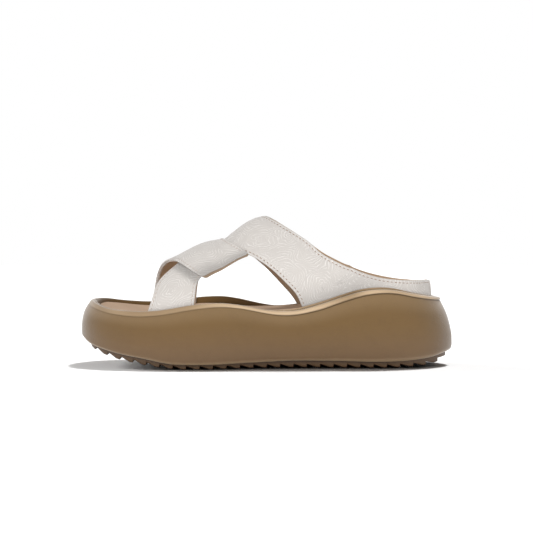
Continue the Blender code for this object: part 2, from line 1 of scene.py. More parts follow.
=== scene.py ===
"""Looks of a platform slide sandal for the left foot, laid out as a Blender add-on.

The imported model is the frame: the toe points to -X, the outer (lateral) side is -Y and +Z is
up. Every form is worked out with numpy, in millimetres and degrees, and MM turns it into
metres when its mesh is made. The tables repeat the lasts and outlines that the model is
built on; what is finer than the model, such as folded edges, stitches and grain, is added.
"""

import functools
import math

import bmesh
import bpy
import numpy as np
from bpy.props import FloatProperty, FloatVectorProperty, PointerProperty
from mathutils import Euler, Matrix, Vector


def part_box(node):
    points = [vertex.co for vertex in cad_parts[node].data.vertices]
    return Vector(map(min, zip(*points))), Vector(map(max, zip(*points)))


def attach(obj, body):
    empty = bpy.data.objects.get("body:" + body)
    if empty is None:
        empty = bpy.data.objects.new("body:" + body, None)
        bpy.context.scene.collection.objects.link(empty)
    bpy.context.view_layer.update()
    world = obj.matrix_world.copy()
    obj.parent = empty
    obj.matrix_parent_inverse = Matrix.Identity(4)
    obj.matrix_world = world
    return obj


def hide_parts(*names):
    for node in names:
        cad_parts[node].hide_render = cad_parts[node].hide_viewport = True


bl_info = {
    "name": "Platform slide sandal",
    "version": (1, 0, 0),
    "blender": (4, 5, 0),
    "location": "3D View > Sidebar > Sandal",
    "description": "Makes the sole, footbed, straps and stitching of a platform slide sandal",
    "category": "Add Mesh",
}

MM = 0.001
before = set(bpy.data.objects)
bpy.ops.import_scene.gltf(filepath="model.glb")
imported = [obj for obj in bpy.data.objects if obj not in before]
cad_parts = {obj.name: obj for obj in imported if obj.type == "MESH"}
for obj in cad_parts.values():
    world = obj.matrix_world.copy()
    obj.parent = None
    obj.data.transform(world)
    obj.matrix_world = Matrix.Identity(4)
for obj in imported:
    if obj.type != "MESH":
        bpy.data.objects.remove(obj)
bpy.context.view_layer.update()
SOLE_LOW, SOLE_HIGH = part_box("platform")
HALF_LENGTH = (SOLE_HIGH.x - SOLE_LOW.x) / 2.0 / MM

GAP = 0.3  # between two pieces that meet
STRAP = 2.2  # wall of a strap: leather and lining
INSOLE_THICKNESS = 3.5
FOOT_MARGIN = (1.5, 4.5)  # distances past a strap's foot over which the footbed comes back to the wall
STRAP_CLEARANCE = 1.3  # from the recess's floor to the feet of the straps
UNDER_RECESS = 1.5  # depth of the hollow under the platform that holds the outsole
UNDER_RIM = 4.2  # its inset from the widest outline
UNDER_EDGE = 0.1  # from the side's bottom edge up to the hollow's own edge
OUTSOLE_INSET = 4.5
OUTSOLE_TIP = 0.4  # least width of its slices, at the toe and the heel
TIP_POINTS = 14  # points of its outline at each end that get a slice of their own
TREAD_PITCH = 9.18  # from one tread to the next
FIRST_TREAD = -119.0  # x of the first tread's steep face
TREAD_DEPTH = 2.1
FOOTBED_MARGIN = 17.0  # from the widest outline to where the footbed starts to dip
FAN_START = 60.0  # behind this x the sections of the last turn about the heel's axis
FAN_END = 140.0  # station of the middle of the heel
FAN_LEAD = 9.0  # stretch of the outline in front of FAN_START that the turning is read from
BLUR = 2.5  # length over which a table's curve is softened
NORMAL_STEP = 0.5  # step, in millimetres and degrees, that slopes and normals are found with
UV_UNIT = 100.0  # millimetres of leather to one unit of a piece's UV map
SHARP_ANGLE = 50.0  # between two faces whose shared edge stays sharp

STRAP_ROWS = 12  # rows of a strap for each row of its table
ROW_BLUR = 0.4  # rows of the table over which a strap's edges are softened
STRAP_COLUMNS = 32  # steps across a strap that its width is measured with
STRAP_MESH = 1.1  # size of its mesh
STRAP_CROWN = 0.3  # swell of its leather between its edges
BAND_CORNER = 3.0  # radius of the two bands' corners
COLLAR_CORNER = 0.5
LINING_REACH = 0.75  # by which the collar's lining stands out along the topline
END_REACH = 0.46  # by which the inner strap's lining stands out at its free end
END_CUT = 1.4  # by which the leather stops short of that end
NO_CUTS = (0.0, 0.0)  # of the lining and of the leather
SKIVE = 0.45  # share of a strap's thickness that is pared away at a free end
SKIVE_LENGTH = 9.0
SHADE_STEP = 2.0  # step along a strap's edge that its shade is found with
SHADE_REACH = 6.5  # distance from that edge at which the shade is down to 0.37
QUARTER_X = 42.0  # middle of the collar's quarters, which get painted shade low down
QUARTER_REACH = (18.0, 50.0)  # distances from it over which that fades
QUARTER_HEIGHT = 10.0  # height over the rim at which their shade is down to 0.37 of its most
QUARTER_SHADE = 0.65
END_SHADE = 0.95  # of the inner strap's free end, which rolls under
END_SHADE_REACH = (0.5, 14.0)  # distances from that end over which it fades
END_SHADE_FALL = 1.5  # power of that fade
TAB_WIDTH = 8.0
TAB_FLARE = 0.5  # share by which the heel tab widens to its foot
TAB_FOOT = 3.0  # from the collar's foot to the tab's
TAB_TOP = 0.6  # from the topline to the tab's top
TAB_ROWS = 29
TAB_COLUMNS = 11
STITCH_INSET = 1.95
STITCH_HEIGHT = 2.05  # of a thread's middle line over the lining's face
STITCH_DIVE = 0.35  # by which a stitch's ends sink
STITCH_FLAT = 0.8  # a thread's height as a share of its width
STITCH_HIDDEN = 1.0  # depth below the rim where the sewing stops
FREE_END = 5.0  # distance from a free end where its sewing stops
STITCH_RINGS = 5
STITCH_SIDES = 6
LEATHER_SHADE = 0.42  # share of the leather's colour that full shade takes away
LINING_SHADE = 0.5  # the same for the lining
FLOOR_REACH = 3.0  # metres from the middle of the floor to its edges

# Parts of a grid of points that make up its border, in order.
BORDER = (np.s_[:-1, 0], np.s_[-1, :-1], np.s_[:0:-1, -1], np.s_[0, :0:-1])

# Widest outline of the platform in plan, from the toe to the heel.
PLAN = (
    ("x", "lateral", "medial"),
    (-129.0, -9.0, 22.0),
    (-123.0, -22.5, 34.0),
    (-112.5, -34.0, 42.5),
    (-98.0, -42.8, 47.5),
    (-80.0, -48.2, 50.0),
    (-58.0, -50.5, 50.0),
    (-36.0, -49.0, 47.0),
    (-12.0, -45.2, 42.0),
    (12.0, -42.0, 38.5),
    (38.0, -40.5, 37.2),
    (64.0, -41.0, 38.8),
    (88.0, -40.2, 39.5),
    (106.0, -35.6, 35.5),
    (119.0, -26.5, 26.5),
    (127.5, -14.0, 14.0),
)

# Height of the rim's top, along the shoe.
RIM = (
    ("x", "lateral", "medial"),
    (-126.0, 46.2, 46.6),
    (-120.0, 44.2, 46.4),
    (-113.0, 41.8, 45.4),
    (-107.0, 40.6, 44.5),
    (-98.0, 39.9, 43.6),
    (-88.0, 39.5, 43.0),
    (-78.0, 39.9, 42.9),
    (-68.0, 41.1, 43.5),
    (-57.0, 43.1, 45.0),
    (-45.0, 44.7, 46.6),
    (-33.0, 45.4, 47.0),
    (-21.0, 44.4, 45.6),
    (-9.0, 42.2, 43.0),
    (-1.0, 40.8, 41.6),
    (7.0, 40.2, 40.6),
    (15.0, 40.6, 41.2),
    (23.0, 41.9, 42.1),
    (31.5, 44.2, 44.3),
    (40.0, 46.7, 46.6),
    (48.0, 49.5, 49.4),
    (56.0, 52.1, 52.1),
    (64.0, 54.3, 54.2),
    (72.0, 55.5, 55.4),
    (80.0, 55.8, 55.7),
    (89.0, 54.9, 55.0),
    (98.0, 52.8, 53.1),
    (107.0, 51.0, 51.0),
    (117.0, 49.2, 49.2),
    (124.0, 48.1, 48.1),
)

# Height of the bottom edge of the platform's side, along the shoe.
BASE = (
    ("x", "edge"),
    (-131.0, 22.0),
    (-124.5, 17.0),
    (-117.5, 14.6),
    (-110.0, 12.6),
    (-103.5, 11.0),
    (-91.0, 8.8),
    (-81.5, 7.2),
    (-74.0, 5.6),
    (-67.0, 4.4),
    (-58.0, 3.7),
    (-44.0, 3.6),
    (-8.0, 5.0),
    (22.0, 5.9),
    (48.0, 5.7),
    (75.0, 5.1),
    (92.0, 5.4),
    (102.0, 6.1),
    (109.0, 6.8),
    (116.0, 7.8),
    (121.0, 9.0),
    (127.0, 10.3),
    (131.0, 11.2),
)

# Height of the insole's top at its outer edge, its middle and its inner edge, along the shoe.
FOOTBED = (
    ("x", "lateral", "centre", "medial"),
    (-122.0, 43.0, 42.6, 44.4),
    (-107.0, 39.8, 39.8, 42.4),
    (-86.0, 38.6, 37.8, 40.4),
    (-60.0, 40.0, 37.0, 41.4),
    (-36.0, 41.6, 36.8, 42.2),
    (-12.0, 40.8, 37.6, 40.8),
    (7.0, 39.3, 38.4, 39.5),
    (22.0, 40.2, 38.9, 40.4),
    (45.0, 43.6, 40.6, 43.6),
    (65.0, 48.4, 42.0, 48.4),
    (85.0, 50.0, 43.4, 50.0),
    (104.0, 48.4, 44.2, 48.4),
    (118.0, 46.4, 45.4, 46.4),
)

# How the sole's section changes round the shoe: inset of the crease, width of the lip, its
# height above the crease, how far its inner ridge stands above its outer bead, the swell of the
# side below it (an exponent on the side's inset shares), how far the lip stands out over its
# crease, which also scales the painted shade in that crease, and the strength of the painted
# highlight on the lip.
SECTION = (
    ("x", "crease", "lip", "height", "ridge", "swell", "sharp", "pale"),
    (-131.0, 4.5, 6.1, 3.0, 0.0, 1.45, 0.0, 0.3),
    (-118.0, 5.2, 5.2, 3.0, 0.0, 1.3, 0.2, 0.3),
    (-108.0, 5.3, 5.0, 3.2, 0.0, 1.1, 0.4, 0.45),
    (-93.0, 5.4, 4.8, 3.7, 0.0, 1.0, 0.45, 0.36),
    (-55.0, 5.4, 4.8, 3.5, 0.0, 1.0, 0.45, 0.42),
    (-33.0, 5.4, 4.8, 2.9, 0.0, 1.0, 0.5, 0.8),
    (-10.0, 5.4, 4.8, 2.5, 0.0, 1.0, 0.65, 1.0),
    (0.0, 5.4, 4.8, 2.8, 0.2, 1.0, 0.75, 1.0),
    (12.0, 5.4, 4.9, 3.9, 0.7, 1.0, 0.9, 1.0),
    (27.0, 5.5, 5.0, 5.0, 1.6, 1.0, 1.0, 1.0),
    (38.0, 5.6, 5.1, 5.6, 1.6, 1.0, 1.0, 0.9),
    (58.0, 5.8, 5.4, 5.4, 1.6, 1.0, 1.0, 0.45),
    (72.0, 5.9, 5.5, 4.6, 1.5, 1.0, 1.0, 0.9),
    (90.0, 6.3, 5.8, 3.7, 1.1, 1.0, 1.0, 0.65),
    (100.0, 6.9, 6.0, 3.4, 0.8, 1.0, 1.0, 0.65),
    (115.0, 7.6, 6.2, 3.4, 0.7, 1.0, 1.0, 0.78),
    (131.0, 8.4, 6.4, 3.0, 0.6, 1.0, 1.0, 0.5),
)

# The platform's side, from the bottom edge (rise 0) to the crease (rise 1).
SIDE = (
    ("rise", "inset_share"),
    (0.0, 0.22),
    (0.03, 0.08),
    (0.12, 0.0),
    (0.28, 0.01),
    (0.45, 0.12),
    (0.62, 0.30),
    (0.78, 0.54),
    (0.90, 0.78),
    (1.0, 1.0),
)

# The last under the bands: ridge height and its place across, and the fullness of its sides.
LAST = (
    ("x", "ridge", "across", "fullness"),
    (-95.0, 60.0, 3.0, 0.8),
    (-82.0, 65.2, 3.0, 0.8),
    (-75.0, 67.9, 3.0, 0.81),
    (-70.0, 70.4, 3.0, 0.82),
    (-62.0, 73.5, 3.0, 0.84),
    (-53.0, 78.2, 3.0, 0.86),
    (-44.0, 82.4, 3.5, 0.88),
    (-37.0, 84.2, 4.0, 0.9),
    (-31.0, 85.2, 4.0, 0.92),
    (-25.0, 89.4, 4.0, 0.94),
    (-18.0, 94.8, 4.0, 0.95),
    (-12.0, 98.9, 4.0, 0.96),
    (-6.0, 101.8, 4.0, 0.97),
    (2.0, 103.2, 4.0, 0.98),
    (12.0, 104.5, 3.5, 0.96),
    (35.0, 107.0, 2.5, 0.9),
    (60.0, 110.0, 1.0, 0.8),
    (100.0, 102.0, 0.0, 0.8),
    (140.0, 96.0, 0.0, 0.8),
)

# Bands of the upper. A row runs across the band: x and angle round the last of its two edges,
# where 0 is the base of the lateral side, 90 the ridge and 180 the base of the medial side.
# "lift" is the height of the band's inner face above the last, and "bow" the degrees by which
# the middle of the row stands round from the line between its ends.
LATERAL_BAND = (
    ("front_x", "front_angle", "rear_x", "rear_angle", "lift", "bow"),
    (-81.5, 0.0, -50.0, 0.0, 0.0, 0.0),
    (-80.7, 5.5, -49.6, 7.0, 0.0, 0.0),
    (-78.2, 17.0, -48.9, 14.0, 0.0, 0.0),
    (-76.9, 27.0, -48.3, 21.5, 0.0, 0.0),
    (-75.1, 36.0, -47.2, 26.0, 0.0, 0.0),
    (-71.4, 46.0, -44.8, 30.0, 0.0, 0.0),
    (-66.5, 54.0, -41.0, 39.0, 0.0, 0.0),
    (-61.0, 63.0, -38.0, 52.0, 0.0, 0.0),
    (-56.0, 74.0, -36.0, 67.0, 0.0, 0.0),
    (-52.0, 87.0, -34.5, 84.0, 0.0, 0.0),
    (-49.0, 102.0, -31.0, 99.0, 0.0, 0.0),
    (-47.0, 117.0, -25.0, 113.0, 0.0, 0.0),
    (-45.8, 132.0, -18.5, 126.0, 0.0, -1.0),
    (-45.0, 143.0, -13.0, 136.0, 0.0, -2.0),
    (-44.6, 151.0, -10.9, 141.5, 0.0, -3.0),
)

MEDIAL_BAND = (
    ("front_x", "front_angle", "rear_x", "rear_angle", "lift", "bow"),
    (-84.5, 180.0, -52.0, 180.0, 0.0, 0.0),
    (-83.5, 171.0, -51.5, 173.0, 0.0, 0.0),
    (-82.5, 163.0, -51.0, 166.0, 0.2, 0.0),
    (-81.6, 156.5, -50.3, 159.0, 0.6, 0.0),
    (-80.3, 144.0, -48.8, 154.0, 1.3, 0.0),
    (-78.6, 131.0, -45.8, 150.0, 1.7, 0.0),
    (-75.7, 114.0, -41.0, 140.0, 1.7, 0.0),
    (-72.0, 98.0, -36.8, 124.0, 1.7, 0.0),
    (-68.5, 85.0, -33.0, 107.0, 1.7, 0.0),
    (-64.0, 73.0, -29.6, 90.0, 1.7, 0.0),
    (-60.5, 62.0, -27.3, 74.0, 1.7, 0.0),
    (-57.0, 51.5, -22.3, 57.0, 1.7, 1.0),
    (-51.0, 38.0, -16.0, 45.0, 1.7, 2.0),
    (-42.8, 26.5, -10.9, 38.0, 1.7, 4.0),
)

# The collar: its outer edge at the front and along the sole, and the topline opposite.
COLLAR_LATERAL = (
    ("front_x", "front_angle", "rear_x", "rear_angle", "lift", "bow"),
    (-31.5, 90.0, -1.5, 90.0, 0.3, 0.0),
    (-30.8, 76.0, 0.5, 82.5, 0.2, 0.0),
    (-27.0, 61.0, 3.5, 75.0, 0.1, 0.0),
    (-22.3, 51.0, 7.5, 68.5, 0.0, 0.0),
    (-17.0, 44.5, 12.0, 62.0, 0.0, 0.0),
    (-11.4, 38.7, 17.0, 56.3, 0.0, 0.0),
    (-4.1, 32.7, 23.0, 50.0, 0.0, 0.0),
    (2.9, 27.7, 30.3, 42.6, 0.0, 0.0),
    (9.3, 21.7, 35.8, 34.7, 0.0, 0.0),
    (15.5, 15.4, 42.4, 28.5, 0.0, 0.0),
    (20.8, 10.0, 48.6, 23.4, 0.0, 0.0),
    (23.9, 4.0, 54.0, 19.4, 0.0, 0.0),
    (26.6, 0.0, 58.5, 16.7, 0.0, 0.0),
    (41.0, 0.0, 66.0, 14.6, 0.0, 0.0),
    (57.4, 0.0, 75.0, 13.0, 0.0, 0.0),
    (73.0, 0.0, 84.0, 11.7, 0.0, 0.0),
    (86.0, 0.0, 92.0, 10.7, 0.0, 0.0),
    (96.0, 0.0, 99.0, 10.2, 0.0, 0.0),
    (105.0, 0.0, 107.0, 10.1, 0.0, 0.0),
    (114.0, 0.0, 115.0, 10.7, 0.0, 0.0),
    (123.0, 0.0, 123.0, 12.2, 0.0, 0.0),
    (131.5, 0.0, 131.5, 13.7, 0.0, 0.0),
    (140.0, 0.0, 140.0, 14.2, 0.0, 0.0),
)

COLLAR_MEDIAL = (
    ("front_x", "front_angle", "rear_x", "rear_angle", "lift", "bow"),
    (-31.5, 90.0, -1.5, 90.0, 0.3, 0.0),
    (-29.5, 103.0, 0.5, 97.5, 1.0, 0.0),
    (-26.0, 116.0, 3.5, 105.0, 1.7, 0.0),
    (-21.5, 127.0, 7.5, 111.5, 1.7, 0.0),
    (-16.8, 135.0, 12.0, 118.0, 1.7, 0.0),
    (-11.8, 142.0, 17.0, 123.7, 1.7, 0.0),
    (-6.4, 148.0, 23.0, 130.0, 1.4, 0.0),
    (0.0, 153.5, 30.3, 137.4, 0.6, 0.0),
    (6.0, 159.5, 35.8, 143.6, 0.1, 0.0),
    (11.4, 165.3, 42.4, 150.1, 0.0, 0.0),
    (16.6, 170.5, 48.6, 155.2, 0.0, 0.0),
    (21.1, 175.8, 54.0, 159.5, 0.0, 0.0),
    (24.0, 180.0, 58.5, 162.3, 0.0, 0.0),
    (39.8, 180.0, 66.0, 164.4, 0.0, 0.0),
    (57.0, 180.0, 75.0, 165.8, 0.0, 0.0),
    (73.0, 180.0, 84.0, 167.0, 0.0, 0.0),
    (86.0, 180.0, 92.0, 168.1, 0.0, 0.0),
    (96.0, 180.0, 99.0, 169.1, 0.0, 0.0),
    (105.0, 180.0, 107.0, 170.0, 0.0, 0.0),
    (114.0, 180.0, 115.0, 170.1, 0.0, 0.0),
    (123.0, 180.0, 123.0, 169.1, 0.0, 0.0),
    (131.5, 180.0, 131.5, 167.2, 0.0, 0.0),
    (140.0, 180.0, 140.0, 165.8, 0.0, 0.0),
)

# Lowest line of the treads along the shoe: flat from the ball to the heel, sprung at both ends.
TREAD_LINE = (
    ("x", "z"),
    (-131.0, 19.6),
    (-124.5, 15.9),
    (-120.0, 11.9),
    (-111.0, 9.0),
    (-102.0, 6.4),
    (-92.5, 4.5),
    (-84.0, 3.0),
    (-75.7, 1.7),
    (-66.6, 0.7),
    (-57.0, 0.0),
    (80.0, 0.0),
    (91.0, 0.3),
    (100.0, 0.8),
    (109.0, 1.5),
    (117.0, 2.6),
    (122.0, 4.6),
    (128.0, 8.0),
)

# The lip: how far in across its width, how much farther where it is not sharp, how far below its
# top as a share of the bead's height, how much of the step from the bead up to the inner ridge
# it has climbed, and the share of the groove between the two.
LIP = (
    ("across", "blunt", "below", "climbed", "groove"),
    (0.1, -0.08, 1.03, 0.0, 0.0),
    (0.08, -0.04, 0.94, 0.0, 0.0),
    (0.0, 0.08, 0.8, 0.0, 0.0),
    (-0.045, 0.18, 0.62, 0.0, 0.0),
    (-0.04, 0.25, 0.42, 0.0, 0.0),
    (0.03, 0.26, 0.22, 0.0, 0.0),
    (0.13, 0.24, 0.08, 0.0, 0.0),
    (0.27, 0.18, 0.0, 0.0, 0.0),
    (0.42, 0.12, 0.0, 0.0, 0.0),
    (0.54, 0.06, 0.04, 0.0, 0.2),
    (0.6, 0.05, 0.06, 0.0, 1.0),
    (0.64, 0.04, 0.06, 0.25, 0.9),
    (0.66, 0.03, 0.04, 0.65, 0.2),
    (0.7, 0.02, 0.01, 0.92, 0.0),
    (0.78, 0.01, 0.0, 1.0, 0.0),
    (0.86, 0.0, 0.03, 1.0, 0.0),
    (0.93, 0.0, 0.14, 1.0, 0.0),
    (0.985, 0.0, 0.36, 1.0, 0.0),
    (1.0, 0.0, 0.7, 1.0, 0.0),
)
LIP_GROOVE = 0.6  # depth of that groove where the ridge stands highest
RIDGE_FULL = 1.6  # height of the ridge there

# Where highlight and shade are painted on the platform. Two numbers are where a soft change starts and
# ends.
BASE_RISE = 0.07  # rise up to which a highlight is painted along the side's bottom edge
BASE_HIGHLIGHT = 0.35  # strength of that painted highlight
SHOULDER_RISE = (0.68, 0.95)  # over which the side rolls in to the crease and gets a painted highlight
SHOULDER_HIGHLIGHT = 0.12
CREASE_SHADE = 0.015  # share of the side's height that gets painted shade at the crease
CREASE_BELOW = (0.86, 1.0)  # depth below the lip's top over which painted shade deepens into the crease
BEAD_BELOW = (0.65, 0.9)  # depth over which the bead's painted highlight ends
BEAD_ACROSS = (0.42, 0.56)  # place across the lip over which it ends
RIDGE_ACROSS = (0.72, 0.9)  # place across the lip over which the ridge's painted highlight ends
RIDGE_HIGHLIGHT = 0.55  # strength of the ridge's painted highlight, where the bead's is 1
WALL_SHADED = (-80.0, -30.0)  # x over which the recess's wall gets painted shade at its foot

# The recess's wall: how far down it a ring lies, and how much painted shade it gets there.
WALL = (
    ("down", "shade"),
    (0.1, 0.05),
    (0.4, 0.5),
    (1.0, 0.95),
)

# The insole's side, from its top edge down: how far in, and how far below its top.
INSOLE_EDGE = (
    ("in", "below"),
    (2.6, 0.0),
    (1.6, 0.06),
    (0.9, 0.25),
    (0.4, 0.6),
    (0.08, 1.1),
    (0.0, 1.8),
    (0.0, 3.5),
)

# How far the padding of the footbed swells up along its two sides.
FOOTBED_SWELL = (
    ("x", "swell"),
    (-120.0, 0.0),
    (-45.0, 0.0),
    (-20.0, -0.8),
    (-8.0, -0.3),
    (3.0, 0.9),
    (35.0, 1.4),
    (60.0, 0.6),
    (110.0, 0.0),
)
SWELL_REACH = (13.0, 24.0)  # distances in from the widest outline over which that swell fades

# A strap's edge, from its lining out round the folded leather to its top: how far in from the
# very edge, the height above the lining's face, and whether it is leather (1) or lining (0).
EDGE = (
    ("in", "height", "leather"),
    (2.0, 0.0, 0),
    (1.1, 0.02, 0),
    (0.7, 0.08, 0),
    (0.5, 0.25, 0),
    (0.46, 0.5, 0),
    (0.5, 0.74, 0),
    (0.66, 0.84, 0),
    (0.34, 0.92, 1),
    (0.1, 1.06, 1),
    (0.0, 1.3, 1),
    (0.0, 1.62, 1),
    (0.12, 1.92, 1),
    (0.36, 2.12, 1),
    (0.72, 2.22, 1),
    (1.15, 2.2, 1),
    (1.6, 2.06, 1),
    (1.95, 1.97, 1),
    (2.3, 2.04, 1),
    (2.9, 2.18, 1),
    (3.8, 2.22, 1),
)

# The heel tab's edge, from under it out and over its top.
TAB_EDGE = (
    ("in", "height"),
    (0.3, 1.9),
    (0.0, 2.0),
    (0.0, 2.5),
    (0.1, 2.8),
    (0.35, 3.0),
    (0.7, 3.05),
    (1.0, 2.98),
    (1.3, 2.86),
    (1.6, 2.96),
    (2.0, 3.05),
)

# Soft creases of the leather, each along a line between two places (length along the strap and
# distance across it): half its width, and its depth, which is below 0 for a ridge.
CREASES = (
    ("strap", "from", "across", "to", "across_to", "width", "depth"),
    ("collar", 150.0, 5.0, 158.0, 26.0, 1.6, 0.3),
    ("collar", 157.0, 3.0, 170.0, 24.0, 1.8, 0.35),
    ("collar", 164.0, 10.0, 150.0, 22.0, 1.5, 0.25),
    ("collar", 141.0, 4.0, 146.0, 20.0, 2.0, -0.25),
)
CREASE_WAVE = (0.15, 0.7)  # start and run, in half waves, of the sine that its depth follows

# Sun lamps: turns about X, Y and Z and the spread, in degrees, the stage's setting for the
# strength, and whether a lamp lights the floor alone (INCLUDE) or all but the floor (EXCLUDE).
LAMPS = (
    ("name", "turns", "spread", "strength", "floor"),
    ("light_overhead", (-23.0, 0.0, 0.0), 14.0, "overhead", "EXCLUDE"),
    ("light_on_floor", (-22.0, 15.0, 0.0), 9.0, "floor", "INCLUDE"),
    ("light_under_toe", (0.0, -68.0, -24.0), 30.0, "floor", "INCLUDE"),
    ("light_by_toe", (69.0, 0.0, -36.0), 30.0, "toe", "EXCLUDE"),
    ("light_by_heel", (81.0, 0.0, 34.0), 30.0, "heel", "EXCLUDE"),
)


# ---- tables and curves ----------------------------------------------------------------------


def column(table, name):
    """One column of a table, whose first row holds the columns' names."""
    place = table[0].index(name)
    return np.array([row[place] for row in table[1:]], dtype=float)


def curve(keys, values, at):
    """Cubics through values given at rising keys, which never overshoot them."""
    chords = np.diff(values) / np.diff(keys)
    level = chords[1:] * chords[:-1] <= 0.0
    total = np.where(level, 1.0, chords[1:] + chords[:-1])
    inner = np.where(level, 0.0, 2.0 * chords[1:] * chords[:-1] / total)
    slopes = np.concatenate([chords[:1], inner, chords[-1:]])
    at = np.clip(np.asarray(at, dtype=float), keys[0], keys[-1])
    row = np.clip(np.searchsorted(keys, at) - 1, 0, len(keys) - 2)
    step = keys[row + 1] - keys[row]
    t = (at - keys[row]) / step
    start, end = values[row], values[row + 1]
    bend_in = start - end + slopes[row] * step
    bend_out = end - start - slopes[row + 1] * step
    return start + (end - start) * t + t * (1 - t) * (bend_in * (1 - t) + bend_out * t)


def blurred(values, spread, ends="edge", **options):
    """Values along the first axis, averaged under a bell whose spread is counted in steps."""
    reach = max(1, int(3 * spread))
    bell = np.exp(-0.5 * (np.arange(-reach, reach + 1) / spread) ** 2)
    bell /= bell.sum()
    flat = values.reshape(len(values), -1)
    padded = np.pad(flat, ((reach, reach), (0, 0)), mode=ends, **options)
    soft = [np.convolve(padded[:, k], bell, mode="valid") for k in range(flat.shape[1])]
    return np.stack(soft, axis=-1).reshape(values.shape)


@functools.lru_cache(maxsize=None)
def soft_column(table, name):
    """(places, values) of a table's column on a fine row of places, softened over BLUR."""
    keys = column(table, table[0][0])
    step = BLUR / 5.0
    places = np.arange(keys[0] - 4 * BLUR, keys[-1] + 4 * BLUR, step)
    return places, blurred(curve(keys, column(table, name), places), BLUR / step)


def smooth(table, name, at):
    """Value of a table's column at places along its first column."""
    return np.interp(at, *soft_column(table, name))


def ease(value, low, high):
    """0 below low, 1 above high and a soft step between."""
    t = np.clip((value - low) / (high - low), 0.0, 1.0)
    return t * t * (3.0 - 2.0 * t)


def profile(table, count):
    """A table's columns as smooth curves over its rows, at count even places: one array a column."""
    given = np.arange(len(table) - 1)
    places = np.linspace(0, given[-1], count)
    return [curve(given, column(table, name), places) for name in table[0]]


# ---- meshes ---------------------------------------------------------------------------------


def grid_faces(numbers, closed=False):
    """Quads between neighbours in a table of point numbers, closed round its rows on request."""
    if closed:
        numbers = np.concatenate([numbers, numbers[:, :1]], axis=1)
    corners = (numbers[:-1, :-1], numbers[:-1, 1:], numbers[1:, 1:], numbers[1:, :-1])
    return np.stack(corners, axis=-1).reshape(-1, 4)


class Form:
    """Gathers the points of one closed piece, in millimetres, and its faces by material."""

    def __init__(self):
        self.points = []
        self.count = 0
        self.faces = []
        self.kinds = []

    def add(self, points):
        """Adds an array of points and returns their numbers, in the array's own shape."""
        flat = points.reshape(-1, 3)
        self.points.append(flat)
        numbers = np.arange(self.count, self.count + len(flat)).reshape(points.shape[:-1])
        self.count += len(flat)
        return numbers

    def face(self, corners, kind=0):
        """Adds faces of three or four corners, all of one kind or each of its own."""
        self.faces.append(corners)
        self.kinds.append(np.broadcast_to(kind, len(corners)))

    def finish(self, name, materials, maps=None):
        """Makes the mesh object in metres, with faces turned outwards, and rides it on the frame.

        maps holds a "UVMap" array of two numbers a point, or attributes of one number a point.
        """
        points = np.concatenate(self.points) * MM
        totals = np.concatenate([np.full(len(f), f.shape[1]) for f in self.faces])
        corners = np.concatenate([f.ravel() for f in self.faces])
        mesh = bpy.data.meshes.new(name)
        mesh.vertices.add(len(points))
        mesh.vertices.foreach_set("co", points.ravel())
        mesh.loops.add(len(corners))
        mesh.loops.foreach_set("vertex_index", corners.astype(np.int32))
        mesh.polygons.add(len(totals))
        starts = np.concatenate([[0], np.cumsum(totals)[:-1]])
        mesh.polygons.foreach_set("loop_start", starts.astype(np.int32))
        mesh.polygons.foreach_set("material_index", np.concatenate(self.kinds).astype(np.int32))
        mesh.update(calc_edges=True)
        for label, values in (maps or {}).items():
            if values.ndim == 2:
                layer = mesh.uv_layers.new(name=label)
                layer.data.foreach_set("uv", values[corners].astype(np.float32).ravel())
            else:
                attribute = mesh.attributes.new(label, "FLOAT", "POINT")
                attribute.data.foreach_set("value", values.astype(np.float32))
        shape = bmesh.new()
        shape.from_mesh(mesh)
        bmesh.ops.recalc_face_normals(shape, faces=shape.faces)
        shape.to_mesh(mesh)
        shape.free()
        mesh.validate()
        mesh.shade_smooth()
        mesh.set_sharp_from_angle(angle=math.radians(SHARP_ANGLE))
        piece = bpy.data.objects.new(name, mesh)
        bpy.context.scene.collection.objects.link(piece)
        for material in materials:
            mesh.materials.append(material)
        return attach(piece, "root")


def fill_across(form, ring, surface, columns):
    """Fills a ring, paired across the shoe, with rows of points on a surface z = f(points).

    A row's points are spaced by the cosine of an even half turn, closer near its two ends.
    """
    half = len(ring) // 2
    flat = np.concatenate(form.points)[ring.ravel(), :2]
    start, end = flat[1:half], flat[:half:-1]
    share = 0.5 - 0.5 * np.cos(np.linspace(0.0, math.pi, columns + 2))[1:-1]
    inner = start[:, None] + (end - start)[:, None] * share[:, None]
    numbers = form.add(np.concatenate([inner, surface(inner)[..., None]], axis=-1))
    rows = np.concatenate([ring[1:half, None], numbers, ring[:half:-1, None]], axis=1)
    form.face(grid_faces(rows))
    for tip, row in ((ring[0], rows[0]), (ring[half], rows[-1])):
        form.face(np.stack([np.full(len(row) - 1, tip), row[:-1], row[1:]], axis=-1))


# ---- outline of the sole --------------------------------------------------------------------

RING_POINTS = 480
CURVE_STEPS = 48  # between two points of the plan
TOE_TIP_Y = 6.5  # the toe's tip lies to the inner side of the middle
HEEL_TIP_Y = 0.0
SIDE_CHANGE = (0.15, 0.85)  # shares of the width between the outer side's and inner side's values


